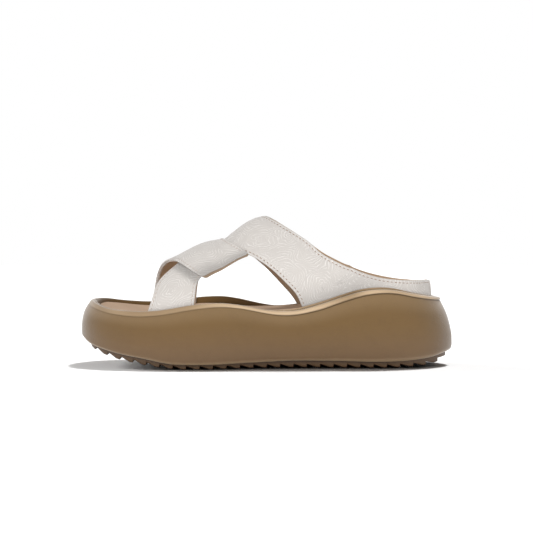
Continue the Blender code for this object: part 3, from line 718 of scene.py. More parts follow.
def make_outline():
    """Widest outline of the sole and its outward directions, from the toe along the outer side.

    A Catmull-Rom curve through the plan's points, cut at the toe's and heel's tips into two
    halves with as many even steps each, then softened.
    """
    x = column(PLAN, "x")
    lateral = np.column_stack([x, column(PLAN, "lateral")])
    medial = np.column_stack([x, column(PLAN, "medial")])[::-1]
    points = np.vstack([[(-HALF_LENGTH, TOE_TIP_Y)], lateral, [(HALF_LENGTH, HEEL_TIP_Y)], medial])
    before, after = np.roll(points, 1, axis=0)[:, None], np.roll(points, -1, axis=0)[:, None]
    beyond = np.roll(points, -2, axis=0)[:, None]
    start = points[:, None]
    t = np.linspace(0.0, 1.0, CURVE_STEPS, endpoint=False)[:, None]
    slope, bend = after - before, 2 * before - 5 * start + 4 * after - beyond
    turn = 3 * start - before - 3 * after + beyond
    fine = (0.5 * (2 * start + slope * t + bend * t**2 + turn * t**3)).reshape(-1, 2)
    fine = np.roll(fine, -np.argmin(fine[:, 0]), axis=0)
    heel = np.argmax(fine[:, 0])
    halves = []
    for half in (fine[: heel + 1], np.vstack([fine[heel:], fine[:1]])):
        run = np.concatenate([[0.0], np.cumsum(np.linalg.norm(np.diff(half, axis=0), axis=1))])
        places = np.linspace(0.0, run[-1], RING_POINTS // 2 + 1)[:-1]
        halves.append(np.column_stack([np.interp(places, run, half[:, k]) for k in (0, 1)]))
    ring = blurred(np.vstack(halves), BLUR, "wrap")
    along = np.roll(ring, -1, axis=0) - np.roll(ring, 1, axis=0)
    out = np.column_stack([along[:, 1], -along[:, 0]])
    out /= np.linalg.norm(out, axis=1)[:, None]
    return ring, -out if out[0, 0] > 0 else out


OUTLINE, OUTWARD = make_outline()


def inset_ring(inset):
    """The outline moved in by an inset, a number or one for each point."""
    return OUTLINE - OUTWARD * np.broadcast_to(inset, RING_POINTS)[:, None]


def side_share(points):
    """0 along the outer side, 1 along the inner side, with a soft change round the two ends."""
    low = smooth(PLAN, "lateral", points[:, 0])
    high = smooth(PLAN, "medial", points[:, 0])
    return ease((points[:, 1] - low) / (high - low), *SIDE_CHANGE)


def rim_height(points):
    """Height of the rim's top at points, from the outer side's to the inner side's."""
    lateral, medial = smooth(RIM, "lateral", points[:, 0]), smooth(RIM, "medial", points[:, 0])
    return lateral + (medial - lateral) * side_share(points)


def wall_inset():
    """Inset of the recess's wall, which is the inner edge of the lip."""
    return smooth(SECTION, "crease", OUTLINE[:, 0]) + smooth(SECTION, "lip", OUTLINE[:, 0])


# Where the inner face of the upper stands, inside the wall.
BASE_RING = inset_ring(wall_inset() + GAP + STRAP)


def footbed_height(points):
    """Top of the insole: a parabola across, through its outer edge, middle and inner edge."""
    x = points[..., 0]
    low = smooth(PLAN, "lateral", x) + FOOTBED_MARGIN
    high = smooth(PLAN, "medial", x) - FOOTBED_MARGIN
    across = np.clip((2.0 * points[..., 1] - low - high) / (high - low), -1.0, 1.0)
    lateral, centre, medial = (smooth(FOOTBED, k, x) for k in FOOTBED[0][1:])
    tilt, cup = (medial - lateral) / 2.0, (medial + lateral) / 2.0 - centre
    return centre + tilt * across + cup * across**2


def insole_underside(points):
    """Height of the insole's underside, which follows its top."""
    return footbed_height(points) - INSOLE_THICKNESS


def recess_floor(points):
    """Height of the recess's floor, which the insole lies on."""
    return insole_underside(points) - GAP


def hollow_top(points):
    """Height of the top of the hollow under the platform, which holds the outsole."""
    return smooth(BASE, "edge", points[..., 0]) + UNDER_RECESS


def with_height(ring, height):
    """A plan ring as points at a height, a number or one for each point."""
    return np.column_stack([ring, np.broadcast_to(height, len(ring))])


# ---- sole pieces ----------------------------------------------------------------------------

SIDE_RINGS = 40
LIP_RINGS = 54
INSOLE_RINGS = 22
FOOTBED_COLUMNS = 48  # points across the footbed's top
HIDDEN_COLUMNS = 6  # points across a face that another piece hides
INSOLE_COLUMNS = 4  # points across the insole's underside


def platform_form():
    """Rings round the sole: hollow underside, swelling side, crease, bead, ridge and recess.

    Each ring is the outline moved in by a share of the crease's inset or of the lip's width, at
    a height between the bottom edge and the rim. "pale" is a painted highlight: 1 on the lip's
    bead, weaker on its ridge, along the side's bottom edge and on its shoulder. "dark" is painted
    shade: 1 in the crease, in the lip's groove and at the foot of the recess's wall.
    """
    section = [smooth(SECTION, name, OUTLINE[:, 0]) for name in SECTION[0][1:]]
    crease, lip, height, ridge, swell, sharp, light = section
    base = smooth(BASE, "edge", OUTLINE[:, 0])
    rim = rim_height(inset_ring(crease + lip / 2.0))
    crease_height = rim - height
    bead = height - ridge

    under = inset_ring(UNDER_RIM)
    rings = [with_height(under, base + k) for k in (UNDER_RECESS, UNDER_EDGE)]
    pale, dark = [0.0, 0.0], [0.0, 0.0]
    for rise, share in zip(*profile(SIDE, SIDE_RINGS)):
        ring = inset_ring(crease * share**swell)
        rings.append(with_height(ring, base + (crease_height - base) * rise))
        # Painted highlight along the side's bottom edge and on its shoulder.
        edge = BASE_HIGHLIGHT * (1.0 - ease(rise, 0.0, BASE_RISE))
        pale.append(edge + SHOULDER_HIGHLIGHT * ease(rise, *SHOULDER_RISE))
        # Painted shade where the side rolls into the crease.
        dark.append(sharp * ease(rise, 1.0 - CREASE_SHADE, 1.0))
    full = np.clip(ridge / RIDGE_FULL, 0.0, 1.0)
    for across, blunt, below, climbed, groove in zip(*profile(LIP, LIP_RINGS)):
        top = rim - ridge * (1.0 - climbed) - below * bead - LIP_GROOVE * groove * full
        rings.append(with_height(inset_ring(crease + lip * (across + blunt * (1.0 - sharp))), top))
        # The bead and the ridge get a painted highlight.
        on_bead = (1.0 - ease(below, *BEAD_BELOW)) * (1.0 - ease(across, *BEAD_ACROSS))
        on_ridge = 1.0 - ease(across, *RIDGE_ACROSS)
        pale.append(light * (on_bead + (1.0 - on_bead) * on_ridge * RIDGE_HIGHLIGHT))
        # Painted shade in the crease and in the lip's groove.
        in_crease = sharp * ease(below, *CREASE_BELOW) * (across < 0.5)
        dark.append(np.maximum(in_crease, groove * full))
    wall = inset_ring(crease + lip)
    floor = recess_floor(wall)
    # Painted shade down the recess's wall, strongest at its foot.
    shaded = ease(OUTLINE[:, 0], *WALL_SHADED)
    for down, shade in WALL[1:]:
        above = rings[-1][:, 2]
        rings.append(with_height(wall, above + (floor - above) * down))
        pale.append(0.0)
        dark.append(shade * shaded)

    form = Form()
    numbers = form.add(np.stack(rings))
    form.face(grid_faces(numbers, closed=True))
    fill_across(form, numbers[0], hollow_top, HIDDEN_COLUMNS)
    fill_across(form, numbers[-1], recess_floor, HIDDEN_COLUMNS)
    maps = {}
    for name, shares in (("pale", pale), ("dark", dark)):
        ringed = [np.broadcast_to(each, RING_POINTS) for each in shares]
        maps[name] = np.concatenate([*ringed, np.zeros(form.count - numbers.size)])
    return form, maps


def band_share(points):
    """1 where a strap goes down inside the wall, 0 where the wall is bare, eased between."""
    x, outer = points[:, 0], side_share(points) < 0.5
    near, far = FOOT_MARGIN
    share = np.zeros(len(points))
    for band, side in ((LATERAL_BAND, outer), (MEDIAL_BAND, ~outer)):
        front, rear = column(band, "front_x")[0], column(band, "rear_x")[0]
        here = ease(x, front - far, front - near) * (1.0 - ease(x, rear + near, rear + far))
        share = np.maximum(share, side * here)
    for band, side in ((COLLAR_LATERAL, outer), (COLLAR_MEDIAL, ~outer)):
        feet = np.isin(column(band, "front_angle"), (0.0, 180.0))
        front = column(band, "front_x")[feet].min()
        share = np.maximum(share, side * ease(x, front - far, front - near))
    return share


def padded_height(points):
    """Top of the padded footbed, which swells softly along its two sides."""
    x, y = points[..., 0], points[..., 1]
    inside = np.minimum(y - smooth(PLAN, "lateral", x), smooth(PLAN, "medial", x) - y)
    swell = smooth(FOOTBED_SWELL, "swell", x) * (1.0 - ease(inside, *SWELL_REACH))
    return footbed_height(points) + swell


def footbed_form():
    """Cupped footbed with a rolled top edge, held back from the wall where the straps go down."""
    inset = wall_inset() + GAP + band_share(BASE_RING) * (STRAP + GAP)
    rings = []
    for extra, below in zip(*profile(INSOLE_EDGE, INSOLE_RINGS)):
        ring = inset_ring(inset + extra)
        swell = padded_height(ring) - footbed_height(ring)
        height = footbed_height(ring) - below + swell * (1.0 - below / INSOLE_THICKNESS)
        rings.append(with_height(ring, height))
    form = Form()
    numbers = form.add(np.stack(rings))
    form.face(grid_faces(numbers, closed=True))
    fill_across(form, numbers[0], padded_height, FOOTBED_COLUMNS)
    fill_across(form, numbers[-1], insole_underside, INSOLE_COLUMNS)
    return form


# A slice of the outsole, round from the outer side: place across, from -1 to 1, rise from its
# bottom to its top, and share of the lift of its side edges.
TREAD_SLICE = (
    ("across", "rise", "lift"),
    (-1.0, 1.0, 0.0),
    (-1.0, 0.25, 1.0),
    (-0.995, 0.08, 1.0),
    (-0.98, 0.02, 1.0),
    (-0.9, 0.0, 0.75),
    (-0.8, 0.0, 0.3),
    (-0.6, 0.0, 0.0),
    (0.0, 0.0, 0.0),
    (0.6, 0.0, 0.0),
    (0.8, 0.0, 0.3),
    (0.9, 0.0, 0.75),
    (0.98, 0.02, 1.0),
    (0.995, 0.08, 1.0),
    (1.0, 0.25, 1.0),
    (1.0, 1.0, 0.0),
    (0.0, 1.0, 0.0),
)

# Lift of those edges above the middle of the outsole, along the shoe.
TREAD_LIFT = (
    ("x", "lift"),
    (-131.0, 0.0),
    (-60.0, 0.1),
    (-30.0, 0.5),
    (10.0, 1.1),
    (60.0, 0.8),
    (100.0, 0.5),
    (131.0, 0.2),
)

# One tread from its root to the next: run along the shoe as a share of the pitch, and its drop
# as a share of its depth. The corners of its land are worn round.
TREAD = (
    ("run", "drop"),
    (0.0, 0.0),
    (0.02, -0.02),
    (0.15, 0.14),
    (0.3, 0.36),
    (0.45, 0.6),
    (0.58, 0.82),
    (0.66, 0.94),
    (0.72, 1.0),
    (0.93, 1.0),
    (0.965, 0.97),
    (0.975, 0.85),
    (0.98, 0.5),
    (0.985, 0.1),
)


def tread_profile():
    """(x, z) of the treads down the shoe, square to the sprung line that their feet follow."""
    firsts = np.arange(FIRST_TREAD - TREAD_PITCH, HALF_LENGTH, TREAD_PITCH)
    x = (firsts[:, None] + column(TREAD, "run") * TREAD_PITCH).ravel()
    depth = TREAD_DEPTH * (1.0 - np.tile(column(TREAD, "drop"), len(firsts)))
    line, before, after = (smooth(TREAD_LINE, "z", x + k * NORMAL_STEP) for k in (0, -1, 1))
    fall = np.arctan2(before - after, 2.0 * NORMAL_STEP)
    return x + depth * np.sin(fall), np.maximum(line + depth * np.cos(fall), 0.0)


def outsole_form():
    """Slices across the sole at every corner of the treads, with round side edges.

    A slice's half widths come from the outline, and its rows run round it: the bottom from the
    outer to the inner side, the inner side, the top and the outer side.
    """
    edge = inset_ring(OUTSOLE_INSET)
    half = RING_POINTS // 2
    lateral, medial = edge[: half + 1], np.vstack([edge[half:], edge[:1]])[::-1]
    x, z = tread_profile()
    ends = np.concatenate([lateral[:TIP_POINTS, 0], lateral[-TIP_POINTS:, 0]])
    stations = np.unique(np.concatenate([x[(x > edge[0, 0]) & (x < edge[half, 0])], ends]))
    low = np.interp(stations, lateral[:, 0], lateral[:, 1])
    high = np.maximum(np.interp(stations, medial[:, 0], medial[:, 1]), low + OUTSOLE_TIP)
    bottom = np.interp(stations, x, z)
    top = smooth(BASE, "edge", stations) + UNDER_RECESS - GAP
    middle, reach = (low + high) / 2.0, (high - low) / 2.0
    across, rise, lift = (column(TREAD_SLICE, name) for name in TREAD_SLICE[0])
    y = middle[:, None] + reach[:, None] * across
    lifted = bottom[:, None] + smooth(TREAD_LIFT, "lift", stations)[:, None] * lift
    height = lifted + (top[:, None] - lifted) * rise
    form = Form()
    numbers = form.add(np.stack([np.broadcast_to(stations[:, None], y.shape), y, height], axis=-1))
    form.face(grid_faces(numbers, closed=True))
    for row in (numbers[0], numbers[-1]):
        form.face(np.stack([np.full(len(row) - 2, row[-1]), row[:-2], row[1:-1]], axis=-1))
    return form


# ---- straps ---------------------------------------------------------------------------------


def fan_turn(station):
    """Turn of a section about the heel's axis: 0 up to its start, a quarter turn at the heel."""
    share = (station - FAN_START) / (FAN_END - FAN_START)
    return np.clip(share, 0.0, 1.0) * math.pi / 2.0


def last_base(station, side):
    """Reach of the last's foot from its ridge at a station, on the outer (-1) or inner (1) side."""
    half = RING_POINTS // 2
    ring = BASE_RING[: half + 1] if side < 0 else np.vstack([BASE_RING[half:], BASE_RING[:1]])[::-1]
    axis = smooth(LAST, "across", FAN_START)
    straight = side * (np.interp(station, ring[:, 0], ring[:, 1]) - smooth(LAST, "across", station))
    rear = ring[ring[:, 0] > FAN_START - FAN_LEAD]
    turn = np.arctan2(rear[:, 0] - FAN_START, side * (rear[:, 1] - axis))
    reach = np.hypot(rear[:, 0] - FAN_START, rear[:, 1] - axis)
    return np.where(station <= FAN_START, straight, np.interp(fan_turn(station), turn, reach))


def last_point(station, angle):
    """The last: a superellipse at each station, from the base of one side over the ridge.

    Out from the ridge the reach goes by the cosine, and up from the foot the height goes by the
    sine, both to the power of the section's fullness.
    """
    outer = angle <= 90.0
    side = np.where(outer, -1.0, 1.0)
    lean = np.radians(np.clip(np.where(outer, angle, 180.0 - angle), 0.0, 90.0))
    fullness = smooth(LAST, "fullness", station)
    reach = np.where(outer, last_base(station, -1), last_base(station, 1))
    turn = fan_turn(station)
    x0 = np.minimum(station, FAN_START)
    y0 = smooth(LAST, "across", x0)

    def place(distance):
        across = y0 + side * distance * np.cos(turn)
        return np.stack([x0 + distance * np.sin(turn), across], axis=-1)

    foot = recess_floor(place(reach)) + STRAP_CLEARANCE
    height = foot + (smooth(LAST, "ridge", station) - foot) * np.sin(lean) ** fullness
    flat = place(reach * np.cos(lean) ** fullness)
    return np.concatenate([flat, height[..., None]], axis=-1)


def offset_point(station, angle, lift):
    """A point at a height above the last, along its outward normal."""
    low = np.clip(angle - NORMAL_STEP, 0.0, 180.0)
    high = np.clip(angle + NORMAL_STEP, 0.0, 180.0)
    round_it = last_point(station, high) - last_point(station, low)
    along = last_point(station + NORMAL_STEP, angle) - last_point(station - NORMAL_STEP, angle)
    normal = np.cross(along, round_it)
    normal /= np.linalg.norm(normal, axis=-1, keepdims=True)
    return last_point(station, angle) + normal * lift[..., None]


class Strap:
    """A leather band over the last, between a front edge and a rear edge.

    Its rows cross it and come from its table, on smooth curves with more rows between. point()
    finds a place from its length along the band's middle, its distance across from the front
    edge and its height over the lining's face, all in millimetres. The cuts, one for the lining
    and one for the leather, move a layer in from the rear edge or from the last row's end, where
    the band is also pared thin. Where it is turned, the leather is folded round under the front
    edge.
    """

    def __init__(self, table, corner, rear_cuts=NO_CUTS, end_cuts=NO_CUTS, skive=0.0, turned=False):
        given = np.arange(len(table) - 1)
        places = np.linspace(0, given[-1], given[-1] * STRAP_ROWS + 1)
        fine = np.column_stack([curve(given, column(table, name), places) for name in table[0]])
        self.rows = blurred(fine, STRAP_ROWS * ROW_BLUR, "reflect", reflect_type="odd")
        self.rows[:, (1, 3)] = np.clip(self.rows[:, (1, 3)], 0.0, 180.0)
        self.numbers = np.arange(len(self.rows), dtype=float)
        self.corner = corner
        self.rear_cuts = rear_cuts
        self.end_cuts = end_cuts
        self.skive = skive
        self.turned = turned
        even = np.linspace(0.0, 1.0, STRAP_COLUMNS + 1)
        row, share = np.broadcast_arrays(self.numbers[:, None], even)
        grid = self.over_last(row, share, np.zeros(row.shape))
        steps = np.linalg.norm(np.diff(grid, axis=1), axis=2)
        run = np.concatenate([np.zeros((len(grid), 1)), np.cumsum(steps, axis=1)], axis=1)
        self.widths = run[:, -1]
        self.shares = np.array([np.interp(even * each[-1], each, even) for each in run])
        steps = np.linalg.norm(np.diff(grid[:, STRAP_COLUMNS // 2], axis=0), axis=1)
        self.lengths = np.concatenate([[0.0], np.cumsum(steps)])
        self.length = self.lengths[-1]

    def over_last(self, row, share, height):
        """A place from a row's number and a share of its span, front to rear."""
        values = (np.interp(row, self.numbers, each) for each in self.rows.T)
        front_x, front_angle, rear_x, rear_angle, lift, bow = values
        station = front_x + (rear_x - front_x) * share
        angle = front_angle + (rear_angle - front_angle) * share + bow * 4.0 * share * (1.0 - share)
        return offset_point(station, angle, lift + height)

    def width(self, length):
        """Distance from the front edge to the rear edge."""
        return np.interp(length, self.lengths, self.widths)

    def point(self, length, across, height):
        """A place on or over the band, thinned by a parabola toward a pared end."""
        length, across, height = np.broadcast_arrays(length, across, height)
        row = np.interp(length, self.lengths, self.numbers)
        to_end = np.clip((self.length - length) / SKIVE_LENGTH, 0.0, 1.0)
        height = height * (1.0 - self.skive * (1.0 - to_end) ** 2)
        fraction = np.maximum(across / self.width(length), 0.0) * STRAP_COLUMNS
        low = np.minimum(row.astype(int), len(self.rows) - 2)
        left = np.minimum(fraction.astype(int), STRAP_COLUMNS - 1)
        down, right = row - low, fraction - left
        first = self.shares[low, left] * (1 - right) + self.shares[low, left + 1] * right
        second = self.shares[low + 1, left] * (1 - right) + self.shares[low + 1, left + 1] * right
        return self.over_last(row, first * (1 - down) + second * down, height)

    def inset(self, along, across, inset, leather=1):
        """(length, across) of unit coordinates on a layer moved in from all its edges.

        A ring's corners are rounded: near a corner its points move from the two sides onto a
        quarter circle, whose radius shrinks with the inset.
        """
        stop = self.length - self.end_cuts[leather] - inset
        length = inset + (stop - inset) * along
        rear = self.width(length) - self.rear_cuts[leather] - inset
        place = inset + (rear - inset) * across
        radius = self.corner - inset
        if radius <= 0.0:
            return length, place
        to_end = np.minimum(length - inset, stop - length)
        to_edge = np.minimum(place - inset, rear - place)
        lean = math.pi / 4.0 * (1.0 - np.clip(np.maximum(to_end, to_edge) / radius, 0.0, 1.0))
        near, far = radius * (1.0 - np.sin(lean)), radius * (1.0 - np.cos(lean))
        on_edge = to_edge < to_end
        turned = np.maximum(to_end, to_edge) < radius
        to_end = np.where(turned, np.where(on_edge, near, far), to_end)
        to_edge = np.where(turned, np.where(on_edge, far, near), to_edge)
        length = np.where(along < 0.5, inset + to_end, stop - to_end)
        place = np.where(across < 0.5, inset + to_edge, rear - to_edge)
        return length, place


def crease_depth(name, length, across):
    """Depth of a strap's creases at places on it: each a soft groove or ridge along a line.

    It falls by a bell in the distance from the line, and along the line it follows a sine.
    """
    depth = np.zeros(length.shape)
    for strap, start_length, start_across, end_length, end_across, width, deep in CREASES[1:]:
        if strap == name:
            run, rise = end_length - start_length, end_across - start_across
            down, over = length - start_length, across - start_across
            share = np.clip((down * run + over * rise) / (run**2 + rise**2), 0.0, 1.0)
            away = np.hypot(down - share * run, over - share * rise)
            wave = np.sin(math.pi * (CREASE_WAVE[0] + CREASE_WAVE[1] * share))
            depth += deep * np.exp(-((away / width) ** 2)) * wave
    return depth


def unit_sheet(rows, columns):
    """Unit coordinates of a grid, and of the ring of points that runs round its border."""
    sheet = np.meshgrid(np.linspace(0.0, 1.0, rows), np.linspace(0.0, 1.0, columns), indexing="ij")
    return sheet, [np.concatenate([each[part] for part in BORDER]) for each in sheet]


def fill_sheet(form, ring, points, kind=0):
    """Closes a ring, which runs round a sheet's border, by the points of the sheet's inside."""
    numbers = np.empty((points.shape[0] + 2, points.shape[1] + 2), dtype=int)
    start = 0
    for part in BORDER:
        size = numbers[part].size
        numbers[part] = ring[start : start + size]
        start += size
    numbers[1:-1, 1:-1] = form.add(points)
    form.face(grid_faces(numbers), kind)


def strap_form(name, strap):
    """Rings round the band for its folded edge, closed by a lining sheet and a leather sheet.

    Each ring lies at its inset and height of the edge's profile. The sheets are grids of unit
    coordinates; the leather one is crowned by a parabola across and dented by the creases.
    """
    rows = int(strap.length / STRAP_MESH) + 2
    columns = int(strap.widths.mean() / STRAP_MESH) + 2
    (p, q), ring = unit_sheet(rows, columns)
    form = Form()
    places, rings = [], []
    for inset, height, leather in EDGE[1:]:
        length, across = strap.inset(*ring, inset, leather)
        rings.append(form.add(strap.point(length, across, height)))
        places.append(np.stack([length, across], axis=-1))
    for first, second, leather in zip(rings, rings[1:], column(EDGE, "leather")):
        kinds = np.full(len(first), 1 - int(leather))
        kinds[: (rows - 1) * strap.turned] = 0
        form.face(grid_faces(np.stack([first, second]), closed=True), kinds)
    p, q = p[1:-1, 1:-1], q[1:-1, 1:-1]
    for row, kind in ((1, 1), (-1, 0)):
        inset, height, leather = EDGE[row]
        length, across = strap.inset(p, q, inset, leather)
        relief = STRAP_CROWN * 4.0 * q * (1.0 - q) - crease_depth(name, length, across)
        surface = strap.point(length, across, height + leather * relief)
        fill_sheet(form, rings[min(row, 0)], surface, kind)
        places.append(np.stack([length, across], axis=-1).reshape(-1, 2))
    return form, np.concatenate(places) / UV_UNIT


def shade_near(form, strap):
    """Shade of a form near the edges of a strap that lies over it, 1 at those edges.

    It falls by a bell in the distance's square, nearly even at first and then fast.
    """
    _, ring = unit_sheet(int(strap.length / SHADE_STEP), int(strap.widths.mean() / SHADE_STEP))
    edge = strap.point(*strap.inset(*ring, 0.0), 0.0)
    points = np.concatenate(form.points)
    away = np.linalg.norm(points[:, None] - edge, axis=-1).min(axis=1)
    return np.exp(-((away / SHADE_REACH) ** 4))


def shade_to_end(strap, flat):
    """Shade of a strap's free end: an eased fall away from the end, to a power."""
    to_end = strap.length - flat[:, 0] * UV_UNIT
    return END_SHADE * (1.0 - ease(to_end, *END_SHADE_REACH)) ** END_SHADE_FALL


def shade_over_rim(form):
    """Shade of the collar's quarters low down, by a bell in the height over the rim."""
    points = np.concatenate(form.points)
    height = points[:, 2] - rim_height(points)
    middle = 1.0 - ease(np.abs(points[:, 0] - QUARTER_X), *QUARTER_REACH)
    return QUARTER_SHADE * middle * np.exp(-((height / QUARTER_HEIGHT) ** 2))


def heel_tab_form(collar):
    """A narrow strip over the collar's back seam, from its foot nearly to its topline.

    Its points are found on the collar's two ends, which meet in the seam: a place to one side of
    the seam is that far from the collar's start, and to the other side that far from its end.
    """
    reach = collar.width(0.0) - TAB_TOP - TAB_FOOT
    (p, q), ring = unit_sheet(TAB_ROWS, TAB_COLUMNS)

    def place(up, across, inset):
        half = TAB_WIDTH / 2.0 * (1.0 + TAB_FLARE * (1.0 - up) ** 2) - inset
        side = half * (2.0 * across - 1.0)
        length = np.where(side < 0.0, -side, collar.length - side)
        return length, TAB_FOOT + inset + (reach - 2.0 * inset) * up, side

    form = Form()
    places, rings = [], []
    for inset, height in TAB_EDGE[1:]:
        length, across, side = place(*ring, inset)
        rings.append(form.add(collar.point(length, across, height)))
        places.append(np.stack([side, across], axis=-1))
    form.face(grid_faces(np.stack(rings), closed=True))
    for row in (1, -1):
        inset, height = TAB_EDGE[row]
        length, across, side = place(p[1:-1, 1:-1], q[1:-1, 1:-1], inset)
        fill_sheet(form, rings[min(row, 0)], collar.point(length, across, height))
        places.append(np.stack([side, across], axis=-1).reshape(-1, 2))
    return form, np.concatenate(places) / UV_UNIT


def stitches_form(points, normals, sewn, stitching):
    """Stitches along a closed run of points: short threads whose ends dive into the leather.

    Along a stitch t runs from -1 to 1. Its thickness goes by the root of one less t to the
    fourth, and its middle line sinks by the square of t. There are none where sewn is 0.
    """
    loop = np.vstack([points, points[:1]])
    run = np.concatenate([[0.0], np.cumsum(np.linalg.norm(np.diff(loop, axis=0), axis=1))])
    count = round(run[-1] / stitching.pitch)
    places = np.arange(count) * run[-1] / count

    def along(values, at):
        closed = np.vstack([values, values[:1]])
        return np.column_stack([np.interp(at % run[-1], run, each) for each in closed.T])

    middle, half = along(points, places), stitching.length / 2.0
    keep = middle[:, 2] > rim_height(middle[:, :2]) - STITCH_HIDDEN
    keep &= along(sewn[:, None], places)[:, 0] > 0.5
    ahead = along(points, places + half) - along(points, places - half)
    ahead /= np.linalg.norm(ahead, axis=1, keepdims=True)
    up = along(normals, places)
    beside = np.cross(up, ahead)
    middle, up, ahead, beside = (each[keep][:, None, None] for each in (middle, up, ahead, beside))
    t = np.linspace(-1.0, 1.0, STITCH_RINGS + 2)[:, None, None]
    turn = np.linspace(0.0, 2.0 * math.pi, STITCH_SIDES, endpoint=False)[:, None]
    thick = stitching.radius * np.sqrt(1.0 - t**4)
    centre = middle + ahead * t * half - up * STITCH_DIVE * t**2
    shell = centre + thick * (np.cos(turn) * beside + STITCH_FLAT * np.sin(turn) * up)

    form = Form()
    rings = form.add(shell[:, 1:-1])
    tips = form.add(shell[:, (0, -1), 0])
    following = np.roll(rings, -1, axis=2)
    sides = (rings[:, :-1], following[:, :-1], following[:, 1:], rings[:, 1:])
    form.face(np.stack(sides, axis=-1).reshape(-1, 4))
    for end in (0, -1):
        tip = np.broadcast_to(tips[:, end, None], rings[:, end].shape)
        form.face(np.stack([tip, rings[:, end], following[:, end]], axis=-1).reshape(-1, 3))
    return form


# ---- shader maths ---------------------------------------------------------------------------


def operator(operation, reflected=False):
    """A method that adds a maths node for a Python operator, for either order of its sides."""

    def apply(self, other):
        sides = (other, self) if reflected else (self, other)
        return self.finish.maths(operation, *sides)

    return apply


class Signal:
    """One output of a node. Arithmetic on it adds Math nodes, or Vector Math for a vector."""

    __add__, __radd__ = operator("ADD"), operator("ADD", True)
    __sub__, __rsub__ = operator("SUBTRACT"), operator("SUBTRACT", True)
    __mul__, __rmul__ = operator("MULTIPLY"), operator("MULTIPLY", True)
    __truediv__ = operator("DIVIDE")

    def __init__(self, finish, socket):
        self.finish = finish
        self.socket = socket

    def other(self, name):
        """Another output of the same node."""
        return Signal(self.finish, self.socket.node.outputs[name])


def is_vector(value):
    """Whether a signal or a constant holds three numbers rather than one."""
    if isinstance(value, Signal):
        return value.socket.type in ("VECTOR", "RGBA")
    return isinstance(value, tuple)


class Finish:
    """The material of one surface: a Principled shader and the nodes that feed it."""

    def __init__(self, name, **constants):
        self.material = bpy.data.materials.new(name)
        self.material.use_nodes = True
        self.tree = self.material.node_tree
        self.shader = self.tree.nodes["Principled BSDF"]
        for socket, value in constants.items():
            self.shader.inputs[socket.replace("_", " ")].default_value = value

    def put(self, socket, value):
        """Links a signal to a socket, or sets a constant on it."""
        if isinstance(value, Signal):
            self.tree.links.new(value.socket, socket)
        else:
            socket.default_value = value

    def node(self, kind, settings, sockets, output=0):
        """Adds a node: its settings first, then the values or links of its sockets."""
        made = self.tree.nodes.new(kind)
        for name, value in settings.items():
            setattr(made, name, value)
        for name, value in sockets.items():
            self.put(made.inputs[name], value)
        return Signal(self, made.outputs[output])

    def maths(self, operation, *values):
        """Adds a Math node, or a Vector Math node where any of the values is a vector."""
        vector = any(is_vector(each) for each in values)
        kind = "ShaderNodeVectorMath" if vector else "ShaderNodeMath"
        if vector:
            values = [(each,) * 3 if isinstance(each, float) else each for each in values]
        return self.node(kind, {"operation": operation}, dict(enumerate(values)))

    def mix(self, factor, first, second):
        """One colour where the factor is 0 and the other where it is 1."""
        ends = [each if isinstance(each, Signal) else (*each, 1.0) for each in (first, second)]
        sockets = {"Factor": factor, 6: ends[0], 7: ends[1]}
        return self.node("ShaderNodeMix", {"data_type": "RGBA"}, sockets, output=2)

    def ease(self, value, low, high):
        """0 below low, 1 above high and a soft step between."""
        sockets = {"Value": value, "From Min": low, "From Max": high}
        return self.node("ShaderNodeMapRange", {"interpolation_type": "SMOOTHSTEP"}, sockets)

    def space(self):
        """Places on the object, in millimetres."""
        return self.node("ShaderNodeTexCoord", {}, {}, output="Object") * (1.0 / MM)

    def leather_place(self):
        """Places on the piece's own unrolled leather, in millimetres."""
        return self.node("ShaderNodeUVMap", {"uv_map": "UVMap"}, {}) * UV_UNIT

    def attribute(self, name):
        """A number that the mesh holds for each of its points."""
        return self.node("ShaderNodeAttribute", {"attribute_name": name}, {}, output="Fac")

    def noise(self, place, size, detail=2.0, roughness=0.5, output="Fac"):
        """Soft noise whose lumps have a size in millimetres."""
        sockets = {"Vector": place, "Scale": 1.0 / size, "Detail": detail, "Roughness": roughness}
        return self.node("ShaderNodeTexNoise", {}, sockets, output=output)

    def cells(self, place, size, settings, **sockets):
        """Cells of a size in millimetres."""
        given = {"Vector": place, "Scale": 1.0 / size, **sockets}
        return self.node("ShaderNodeTexVoronoi", settings, given)

    def done(self, colour, roughness, relief):
        """Links the shader; relief is the height of the surface in millimetres."""
        self.put(self.shader.inputs["Base Color"], colour)
        self.put(self.shader.inputs["Roughness"], roughness)
        bump = self.node("ShaderNodeBump", {}, {"Strength": 1.0, "Distance": MM, "Height": relief})
        self.put(self.shader.inputs["Normal"], bump)
        return self.material


# ---- finishes -------------------------------------------------------------------------------


def tinted(colour, amount):
    """A colour made lighter (above 1) or darker (below 1)."""
    return tuple(min(1.0, each * amount) for each in colour)


